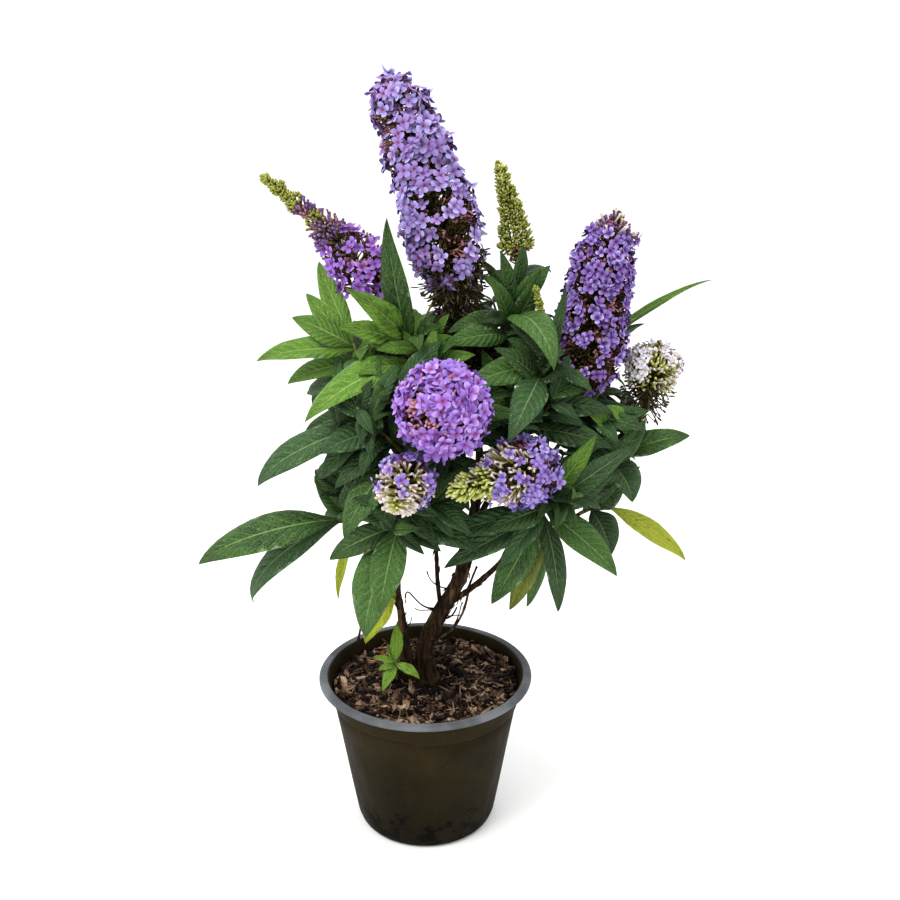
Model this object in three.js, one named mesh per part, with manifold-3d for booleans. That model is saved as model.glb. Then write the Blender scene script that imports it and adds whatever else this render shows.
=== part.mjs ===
// Butterfly bush in its nursery pot: millimetres, +Z up, the pot's flat underside on Z = 0 and its
// axis on X = Y = 0. The bush's show side faces -Y.
import * as THREE from 'three';
import { mergeVertices } from 'three/addons/utils/BufferGeometryUtils.js';
import Module from 'manifold-3d';

const wasm = await Module();
wasm.setup();

// ---- Driving dimensions ---------------------------------------------------------------------
const GAP = 0.3; // clearance between neighbouring pieces

const POT = { height: 142, rim: 95, mouth: 85, wallTop: 86.5, base: 62, wall: 1.6, floor: 2.2,
  sides: 28 };
const RIM_DEPTH = 4.5; // how far the rolled rim turns down
const BAND_HEIGHT = 19; // plain band under the rim, which ends at the stacking step
const BAND_STEP = 0.7;
const FOOT_ROUND = 5;
const DRAIN = { count: 6, radius: 5, circle: 42, sides: 8 };

const SOIL_TOP = 128;
const SOIL_RELIEF = 1.8; // how far the bark chips stand up and lie down
const PIT = { x: -2, y: 14, radius: 36, depth: 5.5 }; // hollow that the stems come up from

const CELL = 5; // side of a cell of space that one piece can claim
const CELL_SHIFT = 0.37; // keeps round sizes off the cells' sides
const SAMPLE = 2.5; // spacing of the points that claim cells
const SKIN = 1; // how far off its middle surface a leaf claims space
const CROWDING = 0.24; // share of a leaf that may lie among the other leaves of its mass
const PAIR_TURN = Math.PI / 2; // each pair of leaves stands crosswise to the pair below
const LEAF_ASPECT = 0.148; // half width of a leaf over its length
const LEAF_STATIONS = [0, 0.44, 1]; // root, belly, tip
const LEAD_STATIONS = [0, 0.24, 0.64, 1]; // the same for the larger leading leaves
const LEAF_THICKNESS = 1.3; // through the midrib
const LEAF_FOLD = 0.2; // how far the edges stand up beside the midrib, over the half width
const LEAF_SAG = 0.22; // how much a leaf's own weight bends its heading down
const FACE = { up: 0.75, outward: 0.45, show: 0.8 }; // which ways the leaves' upper faces look
const GIVE_LINE = [0, -1, 0.31]; // leading leaves give way along this, towards the show side or back
const LEAD_GIVES = [0, 8, -8, 16, -16, 24, -24, 34, -34];
const TURN_GIVES = [0, 0.4, -0.4, 0.8, -0.8, 1.2, -1.2]; // rule-grown leaves give way to either side
const SIZE_GIVES = [1, 0.8, 0.62]; // and then grow smaller

// Rule-grown leaves stay inside this egg-shaped crown, and above its skirt.
const CROWN = { centre: [42, 12, 366], reach: [150, 142, 112], skirt: 286 };

// Woody limbs. Each tapers along a gently bent path from its foot, a point of its own or a share of
// the way up another limb, to its tip. `bow` is the path's offset half way, and `sway` an S-bend.
const LIMBS = [
  { name: 'trunk', foot: [0, 15, SOIL_TOP - PIT.depth + GAP], tip: [37, -4, 280], thick: [7.6, 5.8],
    flare: 6, bow: [-2, 0, 0], sway: [-7, 0, 0], sides: 10, steps: 11 },
  { name: 'left_stem', foot: [-13, 15, SOIL_TOP - PIT.depth + GAP], tip: [-31, 0, 277], thick: [4.6, 2],
    flare: 2.4, bow: [0, -3, 0], sides: 6, steps: 8 },
  { name: 'leader', on: 'trunk', at: 0.97, tip: [46, 8, 355], thick: [4.8, 3], bow: [5, 3, 0] },
  { name: 'left_bough', on: 'trunk', at: 0.93, tip: [7, -15, 380], thick: [4, 2.4], bow: [-8, -8, -4] },
  { name: 'upper_left_bough', on: 'left_bough', at: 0.45, tip: [-31, -4, 399], thick: [2.8, 1.9],
    bow: [-5, 6, 2] },
  { name: 'left_mid_bough', on: 'left_stem', at: 0.82, tip: [-10, -38, 352], thick: [2.4, 1.8],
    bow: [-6, -6, 0] },
  { name: 'front_left_bough', on: 'left_stem', at: 0.58, tip: [-23, -40, 291], thick: [2.4, 1.8],
    bow: [1, -9, 0] },
  { name: 'slender_stem', on: 'trunk', at: 0.47, tip: [14, -35, 347], thick: [1.9, 1.5],
    bow: [-4, 4, 0] },
  { name: 'right_bough', on: 'trunk', at: 0.98, tip: [110, -5, 351], thick: [4, 2.4], bow: [6, 0, -12] },
  { name: 'upper_right_bough', on: 'leader', at: 0.5, tip: [61, 8, 396], thick: [2.8, 1.9],
    bow: [7, 2, -3] },
  { name: 'centre_right_bough', on: 'right_bough', at: 0.35, tip: [81, -27, 365], thick: [2.6, 1.8],
    bow: [2, -8, -4] },
  { name: 'right_mid_bough', on: 'right_bough', at: 0.55, tip: [141, -12, 334], thick: [2.6, 1.8],
    bow: [4, -2, -8] },
  { name: 'front_right_bough', on: 'trunk', at: 0.5, tip: [97, -45, 308], thick: [2.6, 1.9],
    bow: [2, 2, -7], steps: 7 },
  { name: 'low_right_bough', on: 'right_bough', at: 0.25, tip: [133, 2, 291], thick: [2.6, 1.8],
    bow: [6, 4, -8] },
  { name: 'back_left_bough', on: 'trunk', at: 0.86, tip: [-38, 62, 345], thick: [3.4, 2],
    bow: [2, 10, -8] },
  { name: 'back_right_bough', on: 'trunk', at: 0.9, tip: [92, 72, 350], thick: [3.4, 2],
    bow: [-4, 10, -10] },
  { name: 'back_bough', on: 'leader', at: 0.28, tip: [22, 78, 384], thick: [3, 1.9], bow: [0, 10, -8] },
  { name: 'curved_shoot', on: 'trunk', at: 0.28, tip: [38, -13, 226], thick: [1.3, 1], bow: [6, -3, -9] },
  { name: 'hanging_twig', on: 'left_stem', at: 0.66, tip: [-58, -17, 180], thick: [1.5, 1],
    bow: [-5, -3, 12] },
];

// Masses of leaves. Each has one stem, which grows on from its bough's tip, with crosswise pairs of
// leaves and side twigs along it. `leads` are its leading leaves, the ones that draw the crown's
// outline: the share of the stem where each stands, its tip, its half width and its arch in radians.
const MASSES = [
  { name: 'leaves_left_low', on: 'left_stem', tip: [-72, -20, 294], bow: [0, -2, 6], pairs: 3,
    azimuth: 0.3, length: 84, seed: 11, tint: 'leaf',
    leads: [
      [0.95, [-194, -34, 262], 15.5, 1.0], [0.84, [-158, -2, 207], 12.5, 1.35],
      [0.55, [-79, 2, 209], 5.5, 0.4], [0.4, [-89, 18, 285], 11, 0.8],
    ] },
  { name: 'leaves_front_left', on: 'front_left_bough', tip: [-6, -72, 352], bow: [0, -10, 0], pairs: 5,
    azimuth: 1.2, length: 74, seed: 12, tint: 'leaf',
    leads: [
      [0.1, [-51, -74, 211], 18, 0.7], [0.22, [-33, -90, 241], 14, 0.5], [0.15, [-78, -52, 272], 11, 0.8],
      [0.05, [-45, -22, 220], 7, 0.4], [0.03, [-53, -8, 172], 11.5, 0.5],
    ] },
  { name: 'leaves_left_mid', on: 'left_mid_bough', tip: [-50, -48, 395], bow: [0, -6, 4], pairs: 5,
    azimuth: 0.9, length: 88, seed: 13, tint: 'leaf',
    leads: [
      [0.7, [-140, -42, 332], 12.5, 1.1], [0.4, [-95, -18, 327], 9, 0.9], [0.15, [-62, -92, 307], 15, 1.0],
      [0.55, [-78, -78, 372], 12.5, 0.8],
    ] },
  { name: 'leaves_upper_left', on: 'upper_left_bough', tip: [-56, -8, 442], bow: [-2, -2, -4], pairs: 5,
    azimuth: 0.2, length: 76, seed: 14, tint: 'young',
    leads: [
      [0.9, [-134, -22, 433], 10.5, 0.7], [0.7, [-113, -4, 408], 9.5, 0.8],
      [0.98, [-86, -6, 516], 9.5, 0.35], [0.82, [-96, 18, 480], 9.5, 0.6],
      [0.95, [-105, -12, 464], 10, 0.7],
    ] },
  { name: 'leaves_left_bloom', on: 'left_bough', tip: [-13, -12, 460], bow: [-2, -6, 0], pairs: 5,
    azimuth: 0.6, length: 78, seed: 15, tint: 'young',
    leads: [
      [0.82, [-50, -72, 498], 10, 0.5], [0.62, [-90, -78, 398], 13.5, 0.9],
      [0.7, [-25, -44, 537], 10.5, 0.4],
    ] },
  { name: 'leaves_top', on: 'leader', tip: [41, 8, 396], bow: [2, 0, 0], pairs: 3, azimuth: 0.5,
    length: 82, seed: 16, tint: 'leaf', leads: [] },
  { name: 'leaves_upper_right', on: 'upper_right_bough', tip: [76, 14, 497], bow: [-3, 0, -2], pairs: 5,
    azimuth: 0.1, length: 62, seed: 17, tint: 'leaf',
    leads: [
      [0.62, [20, -30, 457], 9, 0.6], [0.36, [112, -72, 424], 15, 1.2], [0.9, [108, 6, 505], 8, 1.2],
      [0.86, [58, -8, 500], 7, 0.5],
    ] },
  { name: 'leaves_centre_right', on: 'centre_right_bough', tip: [97, -25, 440], bow: [2, -3, 0], pairs: 4,
    azimuth: 0.7, length: 72, seed: 18, tint: 'leaf',
    leads: [
      [0.85, [34, -60, 420], 12, 0.9], [0.75, [64, -92, 386], 12.5, 0.7], [0.8, [112, -48, 494], 5, 0.5],
    ] },
  { name: 'leaves_right_bloom', on: 'right_bough', tip: [131, -10, 396], bow: [2, 0, 0], pairs: 4,
    azimuth: 0.4, length: 80, seed: 19, tint: 'leaf', leads: [] },
  { name: 'leaves_right_mid', on: 'right_mid_bough', tip: [181, 4, 368], bow: [0, -2, -4], pairs: 3,
    azimuth: 1.1, length: 78, seed: 20, tint: 'leaf',
    leads: [
      [0.5, [222, -10, 366], 10, 0.9], [0.3, [171, -42, 318], 14.5, 1.3], [0.15, [147, -62, 340], 9, 0.9],
      [0.7, [176, 28, 398], 12, 0.4],
    ] },
  { name: 'leaves_front_right', on: 'front_right_bough', tip: [98, -58, 350], bow: [3, -2, 0], pairs: 4,
    azimuth: 0.3, length: 70, seed: 21, tint: 'leaf',
    leads: [
      [0.2, [162, -84, 381], 9.5, 0.5], [0.3, [150, -58, 350], 13, 0.6], [0.12, [158, -72, 267], 13, 0.5],
      [0.05, [113, -62, 228], 9, 0.6], [0.15, [50, -118, 320], 10.5, 1.2], [0.15, [60, -104, 288], 8, 0.7],
      [0.04, [56, -56, 232], 12.5, 0.5], [0.03, [74, -34, 213], 10, 0.4], [0.02, [91, -22, 212], 8, 0.4],
      [0.08, [17, -76, 274], 10.5, 0.5], [0.1, [8, -64, 298], 10, 0.6], [0.4, [134, -104, 392], 8, 0.4],
    ] },
  { name: 'leaves_low_right', on: 'low_right_bough', tip: [158, 5, 297], bow: [0, 0, 2], pairs: 3,
    azimuth: 0.8, length: 76, seed: 22, tint: 'leaf',
    leads: [[0.95, [233, 10, 247], 10.5, 0.5], [0.4, [159, -20, 262], 13, 0.6]] },
  { name: 'leaves_front_centre', on: 'slender_stem', tip: [24, -60, 396], bow: [0, -5, -2], pairs: 4,
    azimuth: 0.2, length: 72, seed: 23, tint: 'leaf', leads: [] },
  { name: 'leaves_back_left', on: 'back_left_bough', tip: [-66, 92, 398], bow: [-4, 6, -2], pairs: 5,
    azimuth: 0.3, length: 94, seed: 24, tint: 'leaf',
    leads: [
      [0.2, [-128, 96, 318], 12, 1.0], [0.5, [-84, 158, 328], 12, 1.0], [0.05, [-50, 132, 286], 12, 0.9],
    ] },
  { name: 'leaves_back_right', on: 'back_right_bough', tip: [134, 78, 404], bow: [6, 4, -4], pairs: 5,
    azimuth: 0.9, length: 90, seed: 25, tint: 'leaf',
    leads: [
      [0.84, [234, 34, 487], 6, 0.6], [0.7, [186, 44, 452], 9, 0.5], [0.55, [181, 36, 426], 10.5, 0.6],
      [0.2, [176, 124, 318], 12, 1.0],
    ] },
  { name: 'leaves_back', on: 'back_bough', tip: [27, 118, 412], bow: [0, 6, 2], pairs: 5, azimuth: 0.6,
    length: 92, seed: 26, tint: 'leaf',
    leads: [[0.15, [30, 172, 330], 12.5, 1.0], [0.1, [78, 168, 352], 12, 0.9]] },
];

// A young shoot from the foot of the bush.
const BASAL = { name: 'basal_shoot', foot: [-26, 3, SOIL_TOP + SOIL_RELIEF + GAP], tip: [-27, 1, 150],
  leads: [
    [0.9, [-46, -5, 157], 3.6, 0.5], [0.8, [-41, -13, 150], 4, 0.6], [0.85, [-36, -27, 136], 5, 0.5],
    [0.9, [-5, -19, 144], 5, 0.9], [0.95, [-24, 5, 189], 5.5, 0.25], [0.7, [-34, 12, 162], 3.6, 0.5],
  ] };

// Flower heads. Each grows on from the tip of its mass's stem, or from another head's tip. `girth`
// is its radius at even steps from its lowest flowers to its tip.
const BLOOMS = [
  { name: 'spent_flowers', on: 'leaves_top', tip: [30, 8, 458], girth: [9, 23, 27, 23, 12],
    tint: 'spent' },
  { name: 'bloom_main', on: 'spent_flowers', tip: [-27, 4, 648], bow: [8, 0, 0],
    girth: [13, 24, 33, 34, 30, 29, 25, 18], tint: 'lilac' },
  { name: 'bloom_upper_left', on: 'leaves_left_bloom', tip: [-123, -20, 574], bow: [2, 0, 8],
    girth: [12, 19, 25, 25, 19, 14, 10, 9, 7], tint: 'violet' },
  { name: 'bud_spike', on: 'leaves_upper_right', tip: [59, 18, 584], bow: [4, 0, 0],
    girth: [8, 17, 15, 13, 11, 9, 6], tint: 'bud' },
  { name: 'small_bud_spike', on: 'leaves_centre_right', tip: [88, -20, 491], bow: [2, 0, 0],
    girth: [3, 5.5, 5, 4], tint: 'bud' },
  { name: 'bloom_right', on: 'leaves_right_bloom', tip: [153, -12, 548], bow: [-5, 0, 0],
    girth: [17, 29, 31, 29, 27, 26, 21, 12], tint: 'violet' },
  { name: 'bloom_far_right', on: 'leaves_right_mid', tip: [193, 6, 442], girth: [8, 16, 22, 25, 17],
    tint: 'cream' },
  { name: 'bloom_centre', on: 'leaves_front_centre', tip: [10, -146, 428], girth: [16, 32, 36, 30, 19],
    tint: 'lilac' },
  { name: 'bloom_lower_left', on: 'leaves_front_left', tip: [-17, -140, 344], bow: [0, -6, 10],
    girth: [12, 22, 23, 18, 11], tint: 'cream' },
  { name: 'bloom_lower_right', on: 'leaves_front_right', tip: [19, -118, 352], bow: [6, -12, 10],
    girth: [14, 27, 28, 24, 18, 13, 9], tint: 'violet' },
  { name: 'bloom_back_left', on: 'leaves_back_left', tip: [-92, 170, 388], bow: [0, 0, 14],
    girth: [14, 26, 28, 24, 16], tint: 'lilac' },
  { name: 'bloom_back_right', on: 'leaves_back_right', tip: [158, 158, 402], bow: [0, 0, 12],
    girth: [14, 26, 28, 24, 16], tint: 'violet' },
  { name: 'bloom_back', on: 'leaves_back', tip: [32, 204, 392], bow: [0, 0, 14],
    girth: [15, 28, 30, 25, 17], tint: 'lilac' },
];

const STEM_THICK = [1.9, 1.3];
const TWIG_THICK = [1.2, 0.9];
const BLOOM_STALK = [1.5, 1.1];
const BARE_STALK = 7; // stalk below a head's lowest flowers
const BUNCH = { least: 6, share: 0.36, in: 0.88, out: 1.04, uneven: 0.08 }; // bunches of flowers

const FINISHES = {
  pot: { color: 0x4a453c, roughness: 0.6, metalness: 0 },
  soil: { color: 0x33231a, roughness: 0.95, metalness: 0 },
  bark: { color: 0x3a271b, roughness: 0.9, metalness: 0 },
  leaf: { color: 0x2f4f27, roughness: 0.6, metalness: 0 },
  young: { color: 0x55802a, roughness: 0.6, metalness: 0 },
  lilac: { color: 0x8f79cf, roughness: 0.7, metalness: 0 },
  violet: { color: 0x7750ab, roughness: 0.7, metalness: 0 },
  bud: { color: 0x8d9a45, roughness: 0.7, metalness: 0 },
  cream: { color: 0xb9ab8e, roughness: 0.7, metalness: 0 },
  spent: { color: 0x3b2d20, roughness: 0.9, metalness: 0 },
};

// ---- Small tools ----------------------------------------------------------------------------
const vec = (point) => new THREE.Vector3(...point);
const mix = (a, b, t) => a + (b - a) * t;
const UP = vec([0, 0, 1]);

/** Seeded random numbers from 0 to 1, the same on every run. */
function randomFrom(seed) {
  let state = seed * 2654435761 >>> 0;
  return () => {
    state = state + 0x6d2b79f5 >>> 0;
    let mixed = Math.imul(state ^ state >>> 15, state | 1);
    mixed ^= mixed + Math.imul(mixed ^ mixed >>> 7, mixed | 61);
    return ((mixed ^ mixed >>> 14) >>> 0) / 4294967296;
  };
}
const spread = (random, width) => (random() * 2 - 1) * width;

/** A primitive with its seams welded and every corner moved to where `shape` puts it. */
function moulded(geometry, shape) {
  geometry.deleteAttribute('normal');
  geometry.deleteAttribute('uv');
  const welded = mergeVertices(geometry, 1e-4);
  const corners = welded.attributes.position;
  for (let i = 0; i < corners.count; i++) {
    const moved = shape(new THREE.Vector3().fromBufferAttribute(corners, i));
    corners.setXYZ(i, moved.x, moved.y, moved.z);
  }
  return welded;
}

function solidOf(geometry) {
  const bare = geometry.clone();
  bare.deleteAttribute('normal');
  bare.deleteAttribute('uv');
  const welded = mergeVertices(bare, 1e-4);
  return new wasm.Manifold(new wasm.Mesh({
    numProp: 3,
    vertProperties: new Float32Array(welded.attributes.position.array),
    triVerts: new Uint32Array(welded.index.array),
  }));
}

function geometryOf(solid) {
  const mesh = solid.getMesh();
  const geometry = new THREE.BufferGeometry();
  geometry.setAttribute('position', new THREE.BufferAttribute(mesh.vertProperties, 3));
  geometry.setIndex(new THREE.BufferAttribute(mesh.triVerts, 1));
  return geometry;
}

const largestPiece = (solid) =>
  solid.decompose().reduce((best, piece) => (piece.volume() > best.volume() ? piece : best));

/** The named mesh of a solid modelled in place, hung at its own foot. */
function meshAt(name, solid, foot, finish) {
  const geometry = geometryOf(solid).translate(-foot.x, -foot.y, -foot.z);
  const mesh = new THREE.Mesh(geometry, new THREE.MeshStandardMaterial(FINISHES[finish]));
  mesh.name = name;
  mesh.position.copy(foot);
  return mesh;
}

// ---- Paths and the space they fill ----------------------------------------------------------
const NONE = [0, 0, 0];

/** A gently bent path from foot to tip, with the frame that its cross-sections use. */
function pathOf(foot, tip, bow = NONE, sway = NONE) {
  const point = (t) => foot.clone().lerp(tip, t)
    .addScaledVector(vec(bow), 4 * t * (1 - t)).addScaledVector(vec(sway), Math.sin(2 * Math.PI * t));
  const along = (t) => point(t + 0.01).sub(point(t - 0.01)).normalize();
  const chord = tip.clone().sub(foot).normalize();
  const guide = Math.abs(chord.z) > 0.7 ? vec([0, 1, 0]) : UP;
  const frame = (t) => {
    const ahead = along(t);
    const side = ahead.clone().cross(guide).normalize();
    return { point: point(t), ahead, side, over: side.clone().cross(ahead) };
  };
  return { foot, tip, point, along, frame, length: foot.distanceTo(tip) };
}

/** A closed tapering tube round a path; `grow` makes it that much larger all over. */
function tube(path, radiusAt, sides, steps, grow = 0, ripple = 0, seed = 1) {
  const random = randomFrom(seed);
  const over = grow / path.length;
  const shape = (corner) => {
    const t = mix(-over, 1 + over, corner.y + 0.5);
    const { point, side, over: face } = path.frame(t);
    const radius = radiusAt(t) + grow + (grow ? 0 : radiusAt(t) * spread(random, ripple));
    return point.addScaledVector(side, corner.x * radius).addScaledVector(face, corner.z * radius);
  };
  return moulded(new THREE.CylinderGeometry(1, 1, 1, sides, steps), shape);
}

/** Space shared out in cells. Each cell belongs to the first piece that claims it. */
class Space {
  owners = new Map();

  key(point) {
    const cell = (value) => Math.floor((value + CELL_SHIFT) / CELL) + 256;
    return (cell(point.x) * 512 + cell(point.y)) * 512 + cell(point.z);
  }

  claim(points, owner) {
    for (const point of points) {
      const key = this.key(point);
      if (!this.owners.has(key)) this.owners.set(key, owner);
    }
  }

  /** Whether all the points lie in unclaimed cells or in those of the owners named. */
  isFree(points, friends) {
    return points.every((point) => {
      const holder = this.owners.get(this.key(point));
      return holder === undefined || friends.includes(holder);
    });
  }

  /** The share of the points that lie in claimed cells. */
  crowding(points) {
    return points.filter((point) => this.owners.has(this.key(point))).length / points.length;
  }
}
const space = new Space();

/** Points through the inside of a round piece, close enough together to claim all its cells. */
function pointsInside(path, radiusAt) {
  const points = [];
  const steps = Math.ceil(path.length / SAMPLE);
  for (let i = 0; i <= steps; i++) {
    const { point, side, over } = path.frame(i / steps);
    const radius = radiusAt(i / steps);
    const rings = Math.ceil(radius / SAMPLE);
    for (let ring = 0; ring <= rings; ring++) {
      const reach = radius * ring / rings;
      const count = Math.max(1, Math.ceil(2 * Math.PI * reach / SAMPLE));
      for (let k = 0; k < count; k++) {
        const turn = 2 * Math.PI * k / count;
        points.push(point.clone().addScaledVector(side, reach * Math.cos(turn))
          .addScaledVector(over, reach * Math.sin(turn)));
      }
    }
  }
  return points;
}

// ---- Pot and potting mix --------------------------------------------------------------------
const wallRadius = (z) => mix(POT.base, POT.wallTop, z / (POT.height - RIM_DEPTH));

function potSolid() {
  const bandFoot = POT.height - RIM_DEPTH - BAND_HEIGHT;
  const lip = POT.height;
  const outline = [[0, 0], [POT.base - FOOT_ROUND, 0]];
  for (const turn of [0.35, 0.7, 1.1]) {
    outline.push([POT.base - FOOT_ROUND * (1 - Math.sin(turn)), FOOT_ROUND * (1 - Math.cos(turn))]);
  }
  outline.push(
    [wallRadius(bandFoot) - BAND_STEP, bandFoot],
    [wallRadius(bandFoot) + BAND_STEP / 2, bandFoot + 1.2],
    [POT.wallTop, lip - RIM_DEPTH + 1],
    [POT.rim - 2, lip - RIM_DEPTH + 0.6],
    [POT.rim - 0.8, lip - RIM_DEPTH],
    [POT.rim, lip - RIM_DEPTH + 1.2],
    [POT.rim - 0.6, lip - 1],
    [POT.rim - 2.4, lip],
    [POT.mouth + 1.4, lip],
    [POT.mouth, lip - 1.2],
    [wallRadius(lip - BAND_HEIGHT) - POT.wall, lip - BAND_HEIGHT],
    [wallRadius(POT.floor + 4) - POT.wall, POT.floor + 4],
    [POT.base - FOOT_ROUND, POT.floor],
    [0, POT.floor],
  );
  const shell = new THREE.LatheGeometry(outline.map(([r, z]) => new THREE.Vector2(r, z)), POT.sides);
  let solid = solidOf(shell.rotateX(Math.PI / 2));
  for (let k = 0; k < DRAIN.count; k++) {
    const turn = 2 * Math.PI * (k + 0.5) / DRAIN.count;
    const hole = new THREE.CylinderGeometry(DRAIN.radius, DRAIN.radius, 4 * POT.floor, DRAIN.sides)
      .rotateX(Math.PI / 2).translate(DRAIN.circle * Math.cos(turn), DRAIN.circle * Math.sin(turn), 0);
    solid = solid.subtract(solidOf(hole));
  }
  return solid;
}

/** Height of the chips' uneven surface, sunk to a hollow where the stems come up. */
function soilHeight(x, y) {
  const lumps = Math.sin(x * 0.21 + 1) * Math.cos(y * 0.17) + 0.6 * Math.sin(y * 0.31 + x * 0.13);
  const toPit = Math.hypot(x - PIT.x, y - PIT.y) / PIT.radius;
  const sunk = THREE.MathUtils.smoothstep(1.35 - toPit, 0, 0.6);
  return SOIL_TOP + mix(SOIL_RELIEF * 0.6 * lumps, -PIT.depth, sunk);
}

function soilSolid() {
  const foot = POT.floor + GAP;
  const edge = wallRadius(SOIL_TOP) - POT.wall - BAND_STEP - GAP;
  const rings = [0.93, 0.78, 0.6, 0.42, 0.22, 0];
  const outline = [
    [0, foot], [POT.base - FOOT_ROUND - 1, foot], [wallRadius(foot + 8) - POT.wall - GAP - 1, foot + 8],
    [edge, SOIL_TOP - 3], ...rings.map((share) => [edge * share, SOIL_TOP]),
  ];
  const body = new THREE.LatheGeometry(outline.map(([r, z]) => new THREE.Vector2(r, z)), POT.sides);
  return solidOf(moulded(body.rotateX(Math.PI / 2), (corner) => {
    if (corner.z > SOIL_TOP - 1) {
      corner.z = soilHeight(corner.x, corner.y);
    }
    return corner;
  }));
}

// ---- Limbs ----------------------------------------------------------------------------------
const limbs = new Map();

function growLimb(spec) {
  const parent = limbs.get(spec.on);
  const foot = parent ? parent.path.point(spec.at) : vec(spec.foot);
  const path = pathOf(foot, vec(spec.tip), spec.bow, spec.sway);
  const [thick, thin] = spec.thick;
  const flare = spec.flare ?? 0;
  const radiusAt = (t) => mix(thick, thin, t) + flare * Math.exp(-Math.max(t, 0) / 0.09);
  const sides = spec.sides ?? 5;
  const steps = spec.steps ?? 4;
  const ripple = parent ? 0 : 0.08;
  let solid = solidOf(tube(path, radiusAt, sides, steps, 0, ripple, limbs.size + 1));
  if (!parent) {
    const below = new THREE.BoxGeometry(60, 60, 20).translate(foot.x, foot.y, foot.z - 10);
    solid = solid.subtract(solidOf(below));
  }
  for (const earlier of limbs.values()) solid = solid.subtract(earlier.keepOut);
  const keepOut = solidOf(tube(path, radiusAt, sides, steps, GAP + (parent ? 0 : thick * 0.08)));
  limbs.set(spec.name, { path, radiusAt, keepOut });
  space.claim(pointsInside(path, radiusAt), spec.name);
  return meshAt(spec.name, largestPiece(solid), foot, 'bark');
}

// ---- Leaves ---------------------------------------------------------------------------------
/** A leaf's midline: an arc from root to tip that arches over towards its face. */
function bladeOf(root, tip, face, halfWidth, arch, stations) {
  const chord = tip.clone().sub(root);
  const reach = chord.length();
  chord.normalize();
  const lift = face.clone().addScaledVector(chord, -face.dot(chord)).normalize();
  const start = chord.clone().multiplyScalar(Math.cos(arch / 2)).addScaledVector(lift, Math.sin(arch / 2));
  const upper = lift.clone().multiplyScalar(Math.cos(arch / 2)).addScaledVector(chord, -Math.sin(arch / 2));
  const bend = reach / (2 * Math.sin(arch / 2)); // radius of the arc
  const side = upper.clone().cross(start);
  const rings = stations.map((s) => ({
    point: root.clone().addScaledVector(start, bend * Math.sin(arch * s))
      .addScaledVector(upper, -bend * (1 - Math.cos(arch * s))),
    face: upper.clone().multiplyScalar(Math.cos(arch * s)).addScaledVector(start, Math.sin(arch * s)),
    half: halfWidth * outlineAt(s),
  }));
  return { root, tip, side, rings, length: bend * arch };
}

/** Half width of a leaf's outline at share s of its length, over its widest. */
const outlineAt = (s) => (s < 1 ? Math.sin(Math.PI * s ** 0.8) ** 0.85 : 0);

/** Points over both sides of a leaf. */
function bladePoints({ side, rings }) {
  const points = [];
  for (let i = 1; i < rings.length; i++) {
    const [from, to] = [rings[i - 1], rings[i]];
    const steps = Math.ceil(from.point.distanceTo(to.point) / SAMPLE);
    for (let j = 1; j <= steps; j++) {
      const middle = from.point.clone().lerp(to.point, j / steps);
      const face = from.face.clone().lerp(to.face, j / steps);
      const half = mix(from.half, to.half, j / steps);
      const across = Math.ceil(half / SAMPLE);
      for (let k = -across; k <= across; k++) {
        const out = across ? half * k / across : 0;
        for (const skin of [-SKIN, SKIN]) {
          points.push(middle.clone().addScaledVector(side, out)
            .addScaledVector(face, Math.abs(out) * LEAF_FOLD + skin));
        }
      }
    }
  }
  return points;
}

/** A leaf: a long diamond-sectioned blade, folded a little along its midrib. */
function leafSolid({ side, rings, length }) {
  const last = rings.length - 1;
  const thick = Math.max(LEAF_THICKNESS, length / 90) / 2;
  return solidOf(moulded(new THREE.SphereGeometry(1, 4, last), (corner) => {
    const ring = Math.round(Math.acos(THREE.MathUtils.clamp(corner.y, -1, 1)) / Math.PI * last);
    const { point, face, half } = rings[ring];
    if (ring === 0 || ring === last) return point.clone();
    const out = half * Math.round(corner.x / Math.hypot(corner.x, corner.z));
    const through = thick * Math.round(corner.z / Math.hypot(corner.x, corner.z));
    return point.clone().addScaledVector(side, out)
      .addScaledVector(face, through + Math.abs(out) * LEAF_FOLD);
  }));
}

function insideCrown(point) {
  const [x, y, z] = CROWN.centre;
  const [a, b, c] = CROWN.reach;
  const share = ((point.x - x) / a) ** 2 + ((point.y - y) / b) ** 2 + ((point.z - z) / c) ** 2;
  return share < 1 && point.z > CROWN.skirt;
}

// ---- Masses of leaves -----------------------------------------------------------------------
const masses = new Map();

/** The way a leaf's upper face looks: up, out from the crown, and to the show side or the back. */
function faceAt(point) {
  const [x, y] = CROWN.centre;
  const toBack = THREE.MathUtils.clamp((point.y - y - 30) / 40, -1, 1);
  const out = vec([point.x - x, point.y - y, 0]).normalize();
  return out.multiplyScalar(FACE.outward).add(vec([0, FACE.show * toBack, FACE.up]));
}

function startMass(spec) {
  const bough = limbs.get(spec.on);
  const path = pathOf(bough.path.tip, vec(spec.tip), spec.bow);
  const radiusAt = (t) => mix(...STEM_THICK, t);
  space.claim(pointsInside(path, radiusAt), spec.name);
  masses.set(spec.name, { spec, path, radiusAt, bough, blades: [], twigs: [], leaves: new Space() });
}

/** Seats a leaf where it touches no other piece and crowds few leaves of its own mass. */
function seatLeaf(mass, blade, crowding) {
  const points = bladePoints(blade);
  const beyond = points.filter((point) => point.distanceTo(blade.root) > blade.length * 0.3);
  if (!space.isFree(points, [mass.spec.name, mass.spec.on])) return false;
  if (mass.leaves.crowding(beyond) > crowding) return false;
  space.claim(points, mass.spec.name);
  mass.leaves.claim(beyond, mass.spec.name);
  mass.blades.push(blade);
  return true;
}

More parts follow.
